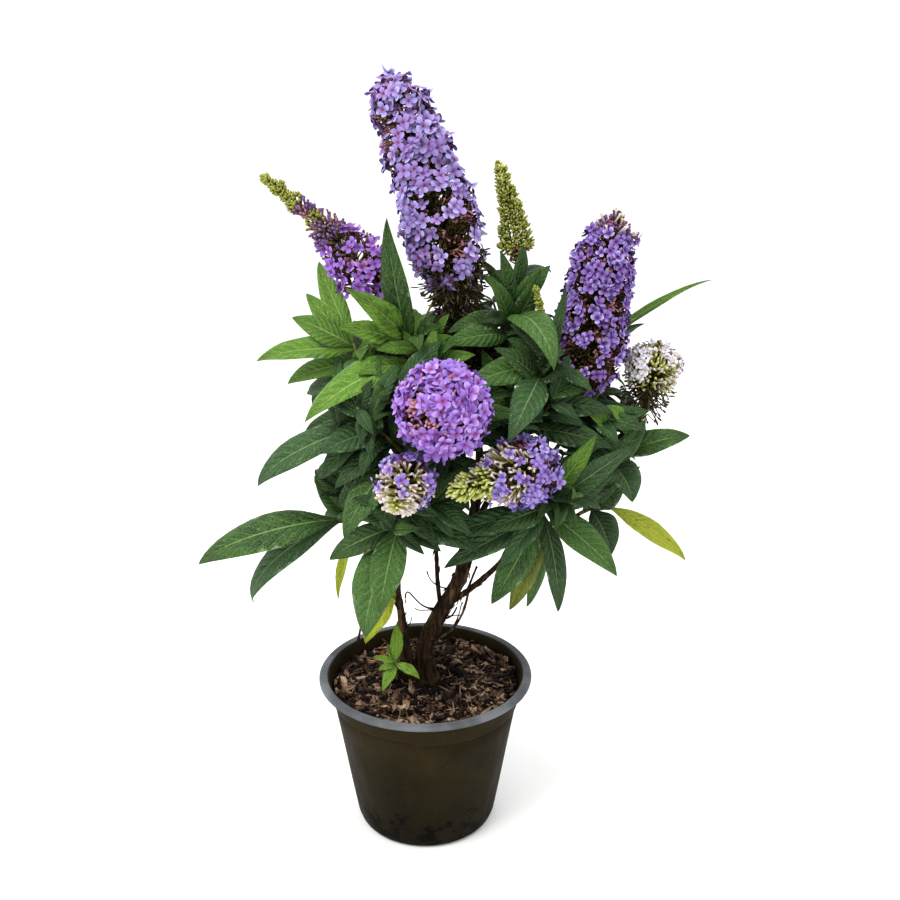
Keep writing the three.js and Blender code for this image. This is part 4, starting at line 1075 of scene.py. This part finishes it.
# Closed flowers of these kinds stand together at one seat where the seats lie further apart than this.
TUFTS, TUFT_SPACING = {"maroon": 3, "rose": 3, "purple": 2, "spent": 3, "dry": 4}, 5.6
TUFT_SPREAD = 0.2  # how far the feet of a tuft stray from their seat, over the spacing
SEAT_JITTER = 0.23  # how far a seat strays from its row and place, over the spacing
ROWS_APART = 0.87  # distance of rows of seats that lie gap on gap, over the spacing
MOST_CURL = 0.9

# head: petal tint, floret radius, cup of its florets, spacing and height of its bunches, and its
# zones. A zone is: share from, share to, spacing, lean to the tip, splay from the axis, and what
# grows there, listed from the gaps between the bunches up to their crests. Heads without open
# flowers have no petal tint.
BACK_ZONES = [(0, 0.8, 8, 0.25, 0, {"spent": 0.12, "maroon": 0.14, "open": 0.74}),
              (0.8, 1, 4.6, 0.4, 0, {"green": 0.3, "purple": 0.7})]
FLOWERS = {
    "spent_flowers": (None, 0, 0, 15, 3, [(0, 1, 5.7, 0.1, 0, {"dry": 0.85, "spent": 0.15})]),
    "bloom_main": ("lilac", 6.7, 0.08, 20, 8, [
        (0, 0.12, 5.7, -0.5, 0, {"dry": 0.95, "spent": 0.05}),
        (0.12, 0.22, 6.3, -0.3, 0, {"dry": 0.5, "spent": 0.16, "open": 0.34}),
        (0.22, 0.52, 7.8, 0.25, 0, {"spent": 0.15, "maroon": 0.27, "open": 0.58}),
        (0.52, 0.9, 7.8, 0.3, 0, {"spent": 0.07, "maroon": 0.32, "open": 0.61}),
        (0.9, 1, 7.6, 0.3, 0, {"maroon": 0.22, "open": 0.78})]),
    "bloom_upper_left": ("violet", 5.9, 0.12, 16, 7, [
        (0, 0.5, 8.0, 0.8, 0, {"spent": 0.08, "maroon": 0.36, "purple": 0.12, "open": 0.44}),
        (0.5, 0.76, 4.4, 0.7, 0, {"green": 0.26, "maroon": 0.26, "purple": 0.48}),
        (0.76, 1, 2.9, 0.5, 0, {"green": 1})]),
    "bud_spike": (None, 0, 0, 8.5, 4.6, [
        (0, 0.14, 4.2, 0.3, 0, {"maroon": 0.25, "lime": 0.3, "green": 0.45}),
        (0.14, 1, 3.0, 0.5, 0, {"green": 0.95, "lime": 0.05})]),
    "small_bud_spike": (None, 0, 0, 5.5, 2.4, [(0, 1, 2.6, 0.5, 0, {"green": 1})]),
    "bloom_right": ("deep", 5.1, 0.34, 14, 5.5, [
        (0, 0.2, 6.2, 0.1, 0, {"spent": 0.42, "maroon": 0.18, "open": 0.4}),
        (0.2, 0.62, 6.0, 0.25, 0, {"spent": 0.18, "maroon": 0.18, "open": 0.64}),
        (0.62, 0.9, 6.0, 0.3, 0, {"spent": 0.06, "maroon": 0.27, "open": 0.67}),
        (0.9, 1, 3.8, 0.3, 0, {"green": 0.1, "maroon": 0.45, "purple": 0.35, "cream": 0.1})]),
    "bloom_far_right": ("pale", 4.2, 0.15, 12, 3, [
        (0, 0.38, 5.2, -0.2, 0, {"dry": 1}),
        (0.38, 0.5, 4.6, 0, 0, {"dry": 0.15, "lime": 0.25, "cream": 0.6}),
        (0.5, 1, 4.6, 0.4, 0, {"lime": 0.2, "cream": 0.36, "open": 0.44})]),
    "bloom_centre": ("pink", 6.6, 0.1, 16, 5.5, [
        (0, 0.86, 7.2, 0.2, 0, {"rose": 0.12, "open": 0.88}),
        (0.86, 1, 6.4, 0, 0.5, {"rose": 0.34, "open": 0.66})]),
    "bloom_lower_left": ("mauve", 5.2, 0.15, 13, 4, [
        (0, 0.42, 6.3, 0.2, 0, {"maroon": 0.14, "open": 0.86}),
        (0.42, 0.86, 6.0, 0.4, 0.3, {"cream": 0.76, "open": 0.24}),
        (0.86, 1, 5.4, 0, 1.2, {"lime": 0.3, "cream": 0.7})]),
    "bloom_lower_right": ("mauve", 5.2, 0.18, 14, 4.5, [
        (0, 0.4, 6.3, 0.2, 0, {"maroon": 0.16, "open": 0.84}),
        (0.4, 0.7, 5.5, 0.8, 0, {"cream": 0.86, "open": 0.14}),
        (0.7, 1, 3.9, 0.7, 0, {"cream": 0.12, "lime": 0.88})]),
    "bloom_back_left": ("lilac", 6.0, 0.1, 17, 5, BACK_ZONES),
    "bloom_back_right": ("deep", 5.2, 0.25, 15, 5, BACK_ZONES),
    "bloom_back": ("lilac", 6.0, 0.1, 17, 5, BACK_ZONES),
}
# Hollows in the heads, where flowers are over or not open yet: middle, radius and depth.
HOLLOWS = {
    "bloom_main": [((12, -26, 556), 12, 1), ((-25, -10, 609), 12, 5), ((-27, -12, 570), 9, 5),
                   ((1, -20, 622), 7, 1), ((-32, -4, 591), 8, 6), ((9, -4, 624), 9, 5),
                   ((16, -2, 594), 10, 5), ((-16, -24, 628), 6, 2), ((18, -26, 526), 10, 1),
                   ((37, -16, 550), 9, 3), ((28, 24, 548), 15, 4), ((-20, 26, 600), 12, 5)],
    "bloom_right": [((147, -32, 533), 6, 2), ((142, -36, 510), 6, 2), ((139, -40, 486), 5, 2),
                    ((134, -40, 462), 7, 2), ((162, -24, 512), 7, 4), ((157, -30, 479), 8, 3),
                    ((131, -38, 437), 7, 2), ((160, 14, 500), 12, 4)],
    "bloom_far_right": [((188, -16, 429), 9, 2)],
    "bloom_centre": [((3, -143, 416), 12, 3)],
    "bloom_lower_left": [((-14, -136, 346), 20, 1)],
    "bloom_lower_right": [((50, -100, 368), 16, 2)],
}
HOLLOW_PULL = 1.35

florets = {tint: Batch() for tint in ("lilac", "violet", "deep", "pink", "mauve", "pale")}
closed = {kind: Batch() for kind in CLOSED}
open_tubes, stalks = Batch(), Batch()


def seats_on(head, begin, end, spacing):
    """Rows of seats round a stretch of a head: share, radius, turn, and lean of the outward direction."""
    shares = np.linspace(head.first, 1, 300)
    length = head.path.length
    radii = np.array([head.body_at(t) for t in shares])
    dome = min(0.6, 0.8 * head.girth[-1] / length)
    radii *= np.sqrt(1 - 0.995 * np.clip((shares - 1 + dome) / dome, 0, 1) ** 2)
    rise, widen = np.gradient(shares * length), np.gradient(radii)
    lean = np.arctan2(-widen, rise)
    run = np.concatenate([[0], np.cumsum(np.hypot(np.diff(shares) * length, np.diff(radii)))])
    place = (shares - head.first) / (1 - head.first)
    span = (np.interp(begin, place, run), np.interp(end, place, run))
    rows = max(1, round((span[1] - span[0]) / (spacing * ROWS_APART)))
    found = []
    for row in range(rows):
        at = mix(*span, (row + 0.5) / rows)
        radius = np.interp(at, run, radii)
        count = max(1, round(CIRCLE * radius / spacing))
        turn = CIRCLE * (np.arange(count) + dice.uniform() + dice.normal(0, SEAT_JITTER, count)) / count
        along = at + dice.normal(0, SEAT_JITTER * spacing, count)
        found.append(np.stack([np.interp(along, run, shares), np.interp(along, run, radii), turn,
                               np.interp(along, run, lean)], axis=1))
    return np.concatenate(found).T


class Bunches:
    """The small domed bunches that a flower head is made of, spread over its surface."""

    def __init__(self, head, spacing):
        share, radius, turn, _ = seats_on(head, 0, 1, spacing)
        self.centres = on_skin(head, share, radius, turn)[0]
        self.reach = 0.6 * spacing

    def under(self, spots):
        """How far up a dome each spot lies, from below 0 in the gaps to 1, and its way off the middle."""
        apart = spots[:, None] - self.centres[None]
        nearest = (apart**2).sum(axis=2).argmin(axis=1)
        offset = apart[np.arange(len(spots)), nearest] / self.reach
        return 1 - (offset**2).sum(axis=1), offset


def on_skin(head, share, radius, turn):
    """Points on a head's smooth outside, with the directions out from its axis and along it."""
    point, ahead, side, over = head.path.frame(share)
    radial = turned(side, over, turn[:, None])
    return point + radial * radius[:, None], radial, ahead


def dealt_out(shares, rank):
    """One kind for each rank from 0 to 1, in the order of the kinds and by their shares."""
    ends = np.cumsum(list(shares.values()))
    return np.array(list(shares))[np.searchsorted(ends / ends[-1], rank).clip(0, len(shares) - 1)]


def add_florets(batch, faces_at, ahead, reach, cupped):
    """Faces of four round petals. Each petal leans and twists its own way and is a little domed."""
    count = len(faces_at)
    side, over = frames_from(ahead, any_turn(count))
    reach = reach * dice.uniform(0.82, 1.1, count)
    lean = dice.normal(cupped, 0.2, (count, 4))[:, PETAL_NUMBER] * np.cos(2 * OFF_PETAL)
    lean += dice.normal(cupped, 0.08, count)[:, None] * (1 - np.cos(2 * OFF_PETAL))
    twist = dice.normal(0, 0.09, (count, 4))[:, PETAL_NUMBER] * np.sin(4 * OFF_PETAL)
    domed = 0.2 * (np.sin(OFF_PETAL) / math.sin(math.pi / 4)) ** 2
    out = FLORET_REACH_OUT[None] * np.ones((count, 1, 1))
    height = RING_DEPTH[None, :, None] + out**2 * lean[:, None, :] + out * (twist[:, None, :] - domed)
    x, y = out * np.cos(FLORET_TURN), out * np.sin(FLORET_TURN)
    shape = (side[:, None, None] * x[..., None] + over[:, None, None] * y[..., None]
             + ahead[:, None, None] * height[..., None]) * reach[:, None, None, None]
    batch.add_many((faces_at[:, None, None] + shape).reshape(count, -1, 3), FLORET_FACES, FLORET_PLACES)


def add_stalks(feet, roots):
    """Fine stalks from the head's axis to the feet of its flowers."""
    rods = feet - roots
    lengths = np.linalg.norm(rods, axis=1)
    tubes(stalks, roots, rods / lengths[:, None], lengths, ((0, 0.75), (0.5, 0.6), (1, 0.55)), 3, 0.06)


def stand_open(tint, reach, cupped, skin, facing, radius):
    """Open flowers, each a tube with a floret on it. Gives their feet."""
    length = np.minimum(10, 0.75 * radius + 2)
    feet = skin - facing * length[:, None]
    tubes(closed["cream"] if tint == "pale" else open_tubes, feet, facing, length, OPEN_TUBE, 5)
    add_florets(florets[tint], skin, facing, reach, cupped)
    return feet


def stand_closed(kind, skin, facing, radius, scatter):
    """Closed flowers of one kind, scattered where they stand in tufts. Gives their feet."""
    outline, longest, girth, inset, curl, sides = CLOSED[kind]
    length = np.minimum(longest, 0.8 * radius + 3) * dice.uniform(0.8, 1.1, len(radius))
    feet = skin - facing * (length + inset)[:, None]
    if scatter:
        feet = feet + dice.normal(0, scatter, feet.shape)
        facing = unit(facing + dice.normal(0, 0.34 if kind == "dry" else 0.16, feet.shape))
    bend = dice.normal(0, curl, len(radius)).clip(-MOST_CURL, MOST_CURL)
    tubes(closed[kind], feet, facing, length, [(s, r * girth) for s, r in outline], sides, bend)
    return feet


for name, head in heads.items():
    tint, reach, cupped, bunch_spacing, bunch_height, zones = FLOWERS[name]
    bunches = Bunches(head, bunch_spacing)
    patches = Noise(len(name) * 7 + int(head.path.tip[0]) % 97, 3, 42)
    for begin, end, spacing, tipward, splay, shares in zones:
        wide = spacing > TUFT_SPACING
        share, radius, turn, lean = seats_on(head, begin, end, spacing)
        skin, radial, ahead = on_skin(head, share, radius, turn)
        outward = turned(radial, ahead, lean[:, None])
        dome, offset = bunches.under(skin)
        hollow, sunk = np.zeros(len(share)), np.zeros(len(share))
        for middle, across, depth in HOLLOWS.get(name, ()):
            near = np.exp(-(((skin - middle) ** 2).sum(axis=1) / across**2))
            hollow, sunk = np.maximum(hollow, near), np.maximum(sunk, near * depth)
        rise = bunch_height * (dome.clip(-0.5) - 1) - 1 - sunk
        rise = rise + dice.normal(0, 0.9 if wide else 0.4, len(share))
        skin = skin + outward * rise.clip(-0.5 * radius, 0.3 * radius)[:, None]
        stray = dice.normal(0, 0.3 if wide else 0.2, (len(share), 3))
        facing = unit(outward + offset * 0.45 + ahead * tipward + radial * splay + stray)
        score = dome + 0.6 * patches(turn, share * head.path.length) - HOLLOW_PULL * hollow
        score += dice.normal(0, 0.32, len(share))
        kinds = dealt_out(shares, score.argsort().argsort() / max(1, len(score) - 1))
        for kind in shares:
            chosen = np.flatnonzero(kinds == kind)
            tufted = wide and kind in TUFTS
            if tufted:
                chosen = chosen.repeat(TUFTS[kind])
            if not len(chosen):
                continue
            seats = skin[chosen], facing[chosen], radius[chosen]
            if kind == "open":
                feet = stand_open(tint, reach, cupped, *seats)
            else:
                feet = stand_closed(kind, *seats, TUFT_SPREAD * spacing if tufted else 0)
            if kind not in FINE:
                below = np.maximum(share[chosen] - 0.45 * radius[chosen] / head.path.length, 0.02)
                add_stalks(feet, head.path.point(below))

FLORET_PIECES = [
    ("lilac", "florets_lilac", "lilac", ("8274ae", "b4aad8", "84508c", "9272b0", "c0724e")),
    ("violet", "florets_violet", "violet", ("8458a6", "b692d2", "74306c", "7a58ae", "a85a5c")),
    ("deep", "florets_deep_violet", "violet", ("604889", "b4a4da", "4a2c66", "8661aa", "6c3a70")),
    ("pink", "florets_pink_violet", "lilac", ("885eae", "c0a0e2", "9a408c", "8266bc", "cc6444")),
    ("mauve", "florets_mauve", "lilac", ("786ab0", "b4aadc", "7a4292", "9070b4", "a8607a")),
    ("pale", "florets_pale", "cream", ("c9c6d0", "efedf2", "c8bf96", "d4d2ea", "b8a860")),
]
for tint, name, slot, tones in FLORET_PIECES:
    stands_for = [head for head in heads if FLOWERS[head][0] == tint]
    florets[tint].make(name, petal_paint("petal_" + tint, *tones), slot, stands_for, mapped=True)

TUBE_PIECES = [
    ("purple", "purple_buds", "violet", ("5c5430", "80609a", "4a3648"), ()),
    ("maroon", "maroon_tubes", "spent", ("7a6c36", "a8748c", "744048"), ()),
    ("rose", "rose_tubes", "lilac", ("987c50", "c68ea4", "945a76"), ()),
    ("cream", "cream_tubes", "cream", ("9ba048", "e0d2d0", "bfa6aa"), ()),
    ("green", "green_buds", "bud", ("5e6a24", "a5ab56", "877a4c"), ("bud_spike", "small_bud_spike")),
    ("lime", "lime_buds", "bud", ("8c9a38", "ccd08e", "a9a85a"), ()),
    ("spent", "spent_tubes", "spent", ("4a3a24", "6e5440", "2a1c14"), ()),
    ("dry", "dry_stalks", "spent", ("34301f", "5a4f38", "1b1510"), ("spent_flowers",)),
]
for kind, name, slot, tones, stands_for in TUBE_PIECES:
    closed[kind].make(name, tube_paint("tube_" + kind, *tones), slot, stands_for, mapped=True)
open_tubes.make("flower_tubes", tube_paint("tube_open", "5a4c26", "7c4a5c", "3a2620"), "spent", mapped=True)
stalks.make("flower_stalks", stem_paint("flower_stalk", "4a4524", "706a3a", "84805a"), "bud")

# ---- Potting mix ------------------------------------------------------------------------------
SOIL_RELIEF, PIT_AT, PIT_RADIUS = 1.8, (-2, 14), 36
POT_HEIGHT, POT_RIM, POT_MOUTH, POT_BASE, POT_WALL_TOP, POT_WALL, POT_FLOOR = 142, 95, 85, 62, 86.5, 1.6, 2.2
RIM_DEPTH, BAND_HEIGHT, BAND_STEP, FOOT_ROUND = 4.5, 19, 0.7, 5
SOIL_SIDES, SOIL_RINGS, CRUMB = 120, 46, 0.55


def wall_radius(z):
    return mix(POT_BASE, POT_WALL_TOP, z / (POT_HEIGHT - RIM_DEPTH))


def in_pit(x, y, reach, soft):
    """How far a place lies in the pit round the stems, from 0 outside it to 1."""
    return smoothstep(reach - np.hypot(x - PIT_AT[0], y - PIT_AT[1]) / PIT_RADIUS, 0, soft)


def soil_height(x, y):
    lumps = np.sin(x * 0.21 + 1) * np.cos(y * 0.17) + 0.6 * np.sin(y * 0.31 + x * 0.13)
    return SOIL_TOP + mix(SOIL_RELIEF * 0.6 * lumps, -PIT_DEPTH, in_pit(x, y, 1.35, 0.6))


soil = Batch()
turn = circle(SOIL_SIDES)
edge = wall_radius(SOIL_TOP) - POT_WALL - BAND_STEP - GAP
low = POT_FLOOR + GAP
rows = [(0.02, low), (POT_BASE - FOOT_ROUND - 1, low), (wall_radius(low + 8) - POT_WALL - GAP - 1, low + 8),
        (edge, SOIL_TOP - 3)]
rows += [(edge * share, None) for share in np.linspace(1, 0.002, SOIL_RINGS)]
grain = np.random.default_rng(5)
rings = []
for radius, height in rows:
    x, y = round_at(radius, turn)
    crumbs = grain.normal(0, CRUMB, len(turn)) if 5 < radius < edge - 1 else 0
    z = soil_height(x, y) + crumbs if height is None else height + 0 * x
    rings.append(np.stack([x, y, z], axis=1))
soil.add(np.stack(rings), grid_faces(len(rows), len(turn), True))
soil.make("potting_mix", chip_paint("mix_dark", "0f0a07", "231810", "3a2a1c"), "soil", ["soil"])

# Bark chips and fibres: corners of a split shard, from its thick to its thin end.
SHARD = np.array([(-1, -1, -1), (1, -0.7, -1), (1, 0.7, -0.8), (-1, 1, -1),
                  (-0.9, -0.8, 1), (0.9, -0.5, 0.7), (0.95, 0.5, 0.8), (-0.85, 0.9, 0.9)])
SHARD_FACES = np.array([(0, 3, 2, 1), (4, 5, 6, 7), (0, 1, 5, 4), (1, 2, 6, 5), (2, 3, 7, 6), (3, 0, 4, 7)])
CHIP_KINDS = {"tan": 0.2, "brown": 0.36, "dark": 0.42, "rust": 0.02}
CHIP_COUNT, FIBRE_COUNT, CHIP_EDGE = 1900, 320, 82.2
BANK_HEIGHT, BANK_REACH, BANK_TURN = 5.5, (52, 84), 0.5

CHIP_TONES = {"tan": ("6a5342", "99806a", "bea891"), "brown": ("2e2019", "594537", "85705e"),
              "dark": ("0e0a08", "231914", "41332a"), "rust": ("4e2c1a", "84522f", "a87848")}
FIBRE = ((0, 0.15), (0.1, 0.42), (0.5, 0.5), (0.9, 0.36), (1, 0.1))
FIBRE_KINDS = {"tan": 0.3, "brown": 0.4, "dark": 0.3}
chips = {kind: Batch() for kind in CHIP_KINDS}


def scattered(count, edge):
    """Random places within an edge: reach from the pot's axis, turn round it, x and y."""
    reach, turn = edge * np.sqrt(dice.uniform(0, 1, count)), any_turn(count)
    return reach, turn, *round_at(reach, turn)


def pointing(heading, pitch):
    """The ways that look to a heading round the pot and up by a pitch."""
    return np.stack([*round_at(np.cos(pitch), heading), np.sin(pitch)], axis=1)


def dealt(kinds, count):
    return dice.choice(list(kinds), count, p=list(kinds.values()))


def lay_chips(count):
    """Split shards, most of them small.

    Near the wall they lie along it. They bank up to one side, and most of those in the pit round the stems
    are made dark as painted shade.
    """
    reach, turn, x, y = scattered(count, CHIP_EDGE)
    length = dice.gamma(3.0, 1.75, count).clip(2, 10) * np.where(dice.uniform(size=count) < 0.08, 1.4, 1)
    width, thick = length * dice.uniform(0.14, 0.36, count), dice.uniform(0.35, 1.3, count)
    heading = any_turn(count)
    along_wall = turn + math.pi / 2 + dice.normal(0, 0.2, count)
    heading = np.where(np.maximum(CHIP_EDGE + 1 - reach, 0.8) < length, along_wall, heading)
    pitch = dice.normal(0, 0.33, count)
    banked = BANK_HEIGHT * smoothstep(reach, *BANK_REACH) * smoothstep(np.cos(turn - BANK_TURN), 0.2, 1)
    pit = in_pit(x, y, 1.1, 0.5)
    z = soil_height(x, y) + dice.uniform(-0.4, 2.4, count) * (1 - 0.6 * pit)
    z = z + banked * dice.uniform(0, 1, count)
    ahead = pointing(heading, pitch)
    side, over = frames_from(ahead, dice.normal(0, 0.5, count))
    size = np.stack([length, width, thick], axis=1)
    corners = (SHARD[None] * (1 + dice.normal(0, 0.14, (count, 8, 3)))) * size[:, None]
    shards = (np.stack([x, y, z], axis=1)[:, None] + ahead[:, None] * corners[..., :1]
              + side[:, None] * corners[..., 1:2] + over[:, None] * corners[..., 2:])
    shards[..., :2] *= np.minimum(1, CHIP_EDGE / np.hypot(shards[..., 0], shards[..., 1]))[..., None]
    kinds = dealt(CHIP_KINDS, count)
    # Painted shade: most chips in the pit round the stems are made the dark kind.
    kinds = np.where((pit > 0.4) & (dice.uniform(size=count) < 0.85), "dark", kinds)
    for kind, batch in chips.items():
        batch.add_many(shards[kinds == kind], SHARD_FACES)


def lay_fibres(count):
    """Thin loose fibres over the chips."""
    reach, _, x, y = scattered(count, CHIP_EDGE - 6)
    ahead = pointing(any_turn(count), dice.normal(0, 0.15, count))
    length = np.minimum(dice.uniform(6, 22, count), 0.8 * (CHIP_EDGE - reach))
    feet = np.stack([x, y, soil_height(x, y) + dice.uniform(0.8, 3.4, count)], axis=1)
    kinds = dealt(FIBRE_KINDS, count)
    for kind in FIBRE_KINDS:
        chosen = kinds == kind
        bend = dice.normal(0, 0.15, chosen.sum())
        tubes(chips[kind], feet[chosen], ahead[chosen], length[chosen], FIBRE, 4, bend)


lay_chips(CHIP_COUNT)
lay_fibres(FIBRE_COUNT)
for kind, batch in chips.items():
    batch.make("chips_" + kind, chip_paint("chip_" + kind, *CHIP_TONES[kind]), "soil", smooth=False)

# ---- Shreds of bark that lift off the limbs ---------------------------------------------------
SHREDS = {"trunk": 90, "left_stem": 30, "front_right_bough": 12, "slender_stem": 8, "leader": 8}
SHRED = ((0, 0.5), (0.4, 0.65), (0.8, 0.4), (1, 0.06))
for name, count in SHREDS.items():
    limb = limbs[name]
    share, turn = dice.uniform(0.03, 0.92, count), any_turn(count)
    point, ahead, side, over = limb.path.frame(share)
    radial = turned(side, over, turn[:, None])
    radius = np.array([limb.radius_at(t) for t in share])
    heading = ahead * dice.choice([-1, 1], count)[:, None]
    heading = heading + radial * dice.uniform(0.05, 0.4, count)[:, None]
    heading = unit(heading + dice.normal(0, 0.1, (count, 3)))
    length, bend = dice.uniform(3, 9, count), dice.normal(0, 0.15, count)
    tubes(dead, point + radial * radius[:, None], heading, length, SHRED, 4, bend)
dead.make("dead_twigs", bark_paint("dead_bark", "17100c", "33241b", "5a4a3d", 1.4), "bark")

# ---- Pot --------------------------------------------------------------------------------------
POT_SIDES = 160


def step_height(turn):
    """Height of the stacking step, which jogs down and up again round the pot."""
    wave = np.sin(turn * 2 + 0.25)
    return POT_HEIGHT - RIM_DEPTH - BAND_HEIGHT + 1.6 * (smoothstep(wave, -0.12, 0.12) * 2 - 1)


def arc(x, z, radii, begin, end, count):
    """A rounded edge about the point x, z, between two angles, by its radii across and up."""
    across, up = radii
    return [(x + across * math.cos(a), z + up * math.sin(a)) for a in np.linspace(begin, end, count)]


def pot_rows(turn):
    """The pot's outline at one turn, from the middle of its underside up, over the rim and down inside."""
    step = step_height(turn)
    lip, foot = POT_HEIGHT, POT_BASE - FOOT_ROUND
    rows = [(0.05, 0), (20, 0), (33, 0), (51, 0), (foot, 0)]
    rows += [(foot + FOOT_ROUND * math.sin(a), FOOT_ROUND * (1 - math.cos(a)))
             for a in np.linspace(0.2, 1.35, 6)]
    rows += [(wall_radius(z) - BAND_STEP * smoothstep(z, 20, 100), z) for z in np.linspace(8, step - 1.7, 9)]
    rows += [(wall_radius(step) - 1.3, step - 1.3), (wall_radius(step) - 1.3, step - 0.1),
             (wall_radius(step) + 0.3, step + 0.1), (wall_radius(step) + BAND_STEP * 0.7, step + 0.9)]
    rows += [(wall_radius(z) + BAND_STEP * 0.4, z) for z in np.linspace(step + 3, lip - RIM_DEPTH + 0.4, 4)]
    rows += [(POT_RIM - 2.2, lip - RIM_DEPTH + 0.5), (POT_RIM - 1.2, lip - RIM_DEPTH + 0.05)]
    rows += arc(POT_RIM - 1.3, lip - RIM_DEPTH + 1.4, (1.3, 1.3), -1.3, 0, 4)
    rows += arc(POT_RIM - 2.6, lip - 2.2, (2.6, 2.2), 0.05, 1.5, 6)
    rows += [(POT_MOUTH + 3.9, lip), (POT_MOUTH + 2.7, lip - 0.4), (POT_MOUTH + 1.5, lip - 1.7)]
    rows += [(wall_radius(z) - POT_WALL, z) for z in np.linspace(lip - 5, POT_FLOOR + 4, 9)]
    rows += [(foot, POT_FLOOR), (51, POT_FLOOR), (33, POT_FLOOR), (20, POT_FLOOR), (0.05, POT_FLOOR)]
    return rows


turn = circle(POT_SIDES)
outline = np.array([pot_rows(a) for a in turn]).transpose(1, 0, 2)
shell = np.stack([*round_at(outline[..., 0], turn), outline[..., 1]], axis=2)
pot = Batch()
pot.add(shell, grid_faces(len(outline), POT_SIDES, True))
pot.make("nursery_pot", pot_paint(), "pot", ["pot"])

# ---- Floor, lights and camera, in metres ------------------------------------------------------
FLOOR_HALF, FLOOR_DROP = 6, 0.0005
LIGHT_AIM = (0.03, 0, 0.35)
# name, place, size, power and colour
LIGHTS = [
    ("sky_left", (-1.1, -1.2, 2.5), 1.2, 40, (1.0, 0.99, 0.97)),
    ("sky_right", (1.8, -0.8, 1.9), 1.8, 8, (0.96, 0.98, 1.0)),
    ("sky_back", (0.3, 2.0, 2.2), 1.8, 12, (0.98, 0.99, 1.0)),
]
SKY_COLOUR, SKY_STRENGTH = (0.99, 0.995, 1.0, 1), 1.0
LENS, SENSOR, CAMERA_PLACE, CAMERA_DIP = 42, 36, (0.022, -0.842, 0.613), 17.4

floor_mesh = bpy.data.meshes.new("floor")
ways = ((-1, -1), (1, -1), (1, 1), (-1, 1))
floor_corners = [(x * FLOOR_HALF, y * FLOOR_HALF, -FLOOR_DROP) for x, y in ways]
floor_mesh.from_pydata(floor_corners, [], [(0, 1, 2, 3)])
floor = put("floor", floor_mesh)
floor_paint = Paint("pale_floor", Roughness=0.9)
cloud = floor_paint.noise(floor_paint.place(), 3.0)
floor_mesh.materials.append(floor_paint.coat("f4f4f2", (cloud, "f8f8f7")))

for name, place, size, power, colour in LIGHTS:
    light = bpy.data.lights.new(name, "AREA")
    light.size, light.energy, light.color = size, power, colour
    lamp = put(name, light)
    lamp.location = place
    lamp.rotation_euler = (Vector(LIGHT_AIM) - Vector(place)).to_track_quat("-Z", "Y").to_euler()

world = bpy.data.worlds.new("studio")
world.use_nodes = True
sky = world.node_tree.nodes["Background"].inputs
sky["Color"].default_value, sky["Strength"].default_value = SKY_COLOUR, SKY_STRENGTH
bpy.context.scene.world = world
bpy.context.scene.view_settings.view_transform = "Standard"
bpy.context.scene.view_settings.look = "Medium High Contrast"

camera_data = bpy.data.cameras.new("camera")
camera_data.lens, camera_data.sensor_width = LENS, SENSOR
camera = put("camera", camera_data)
camera.location = CAMERA_PLACE
camera.rotation_euler = (math.radians(90 - CAMERA_DIP), 0, 0)
bpy.context.scene.camera = camera
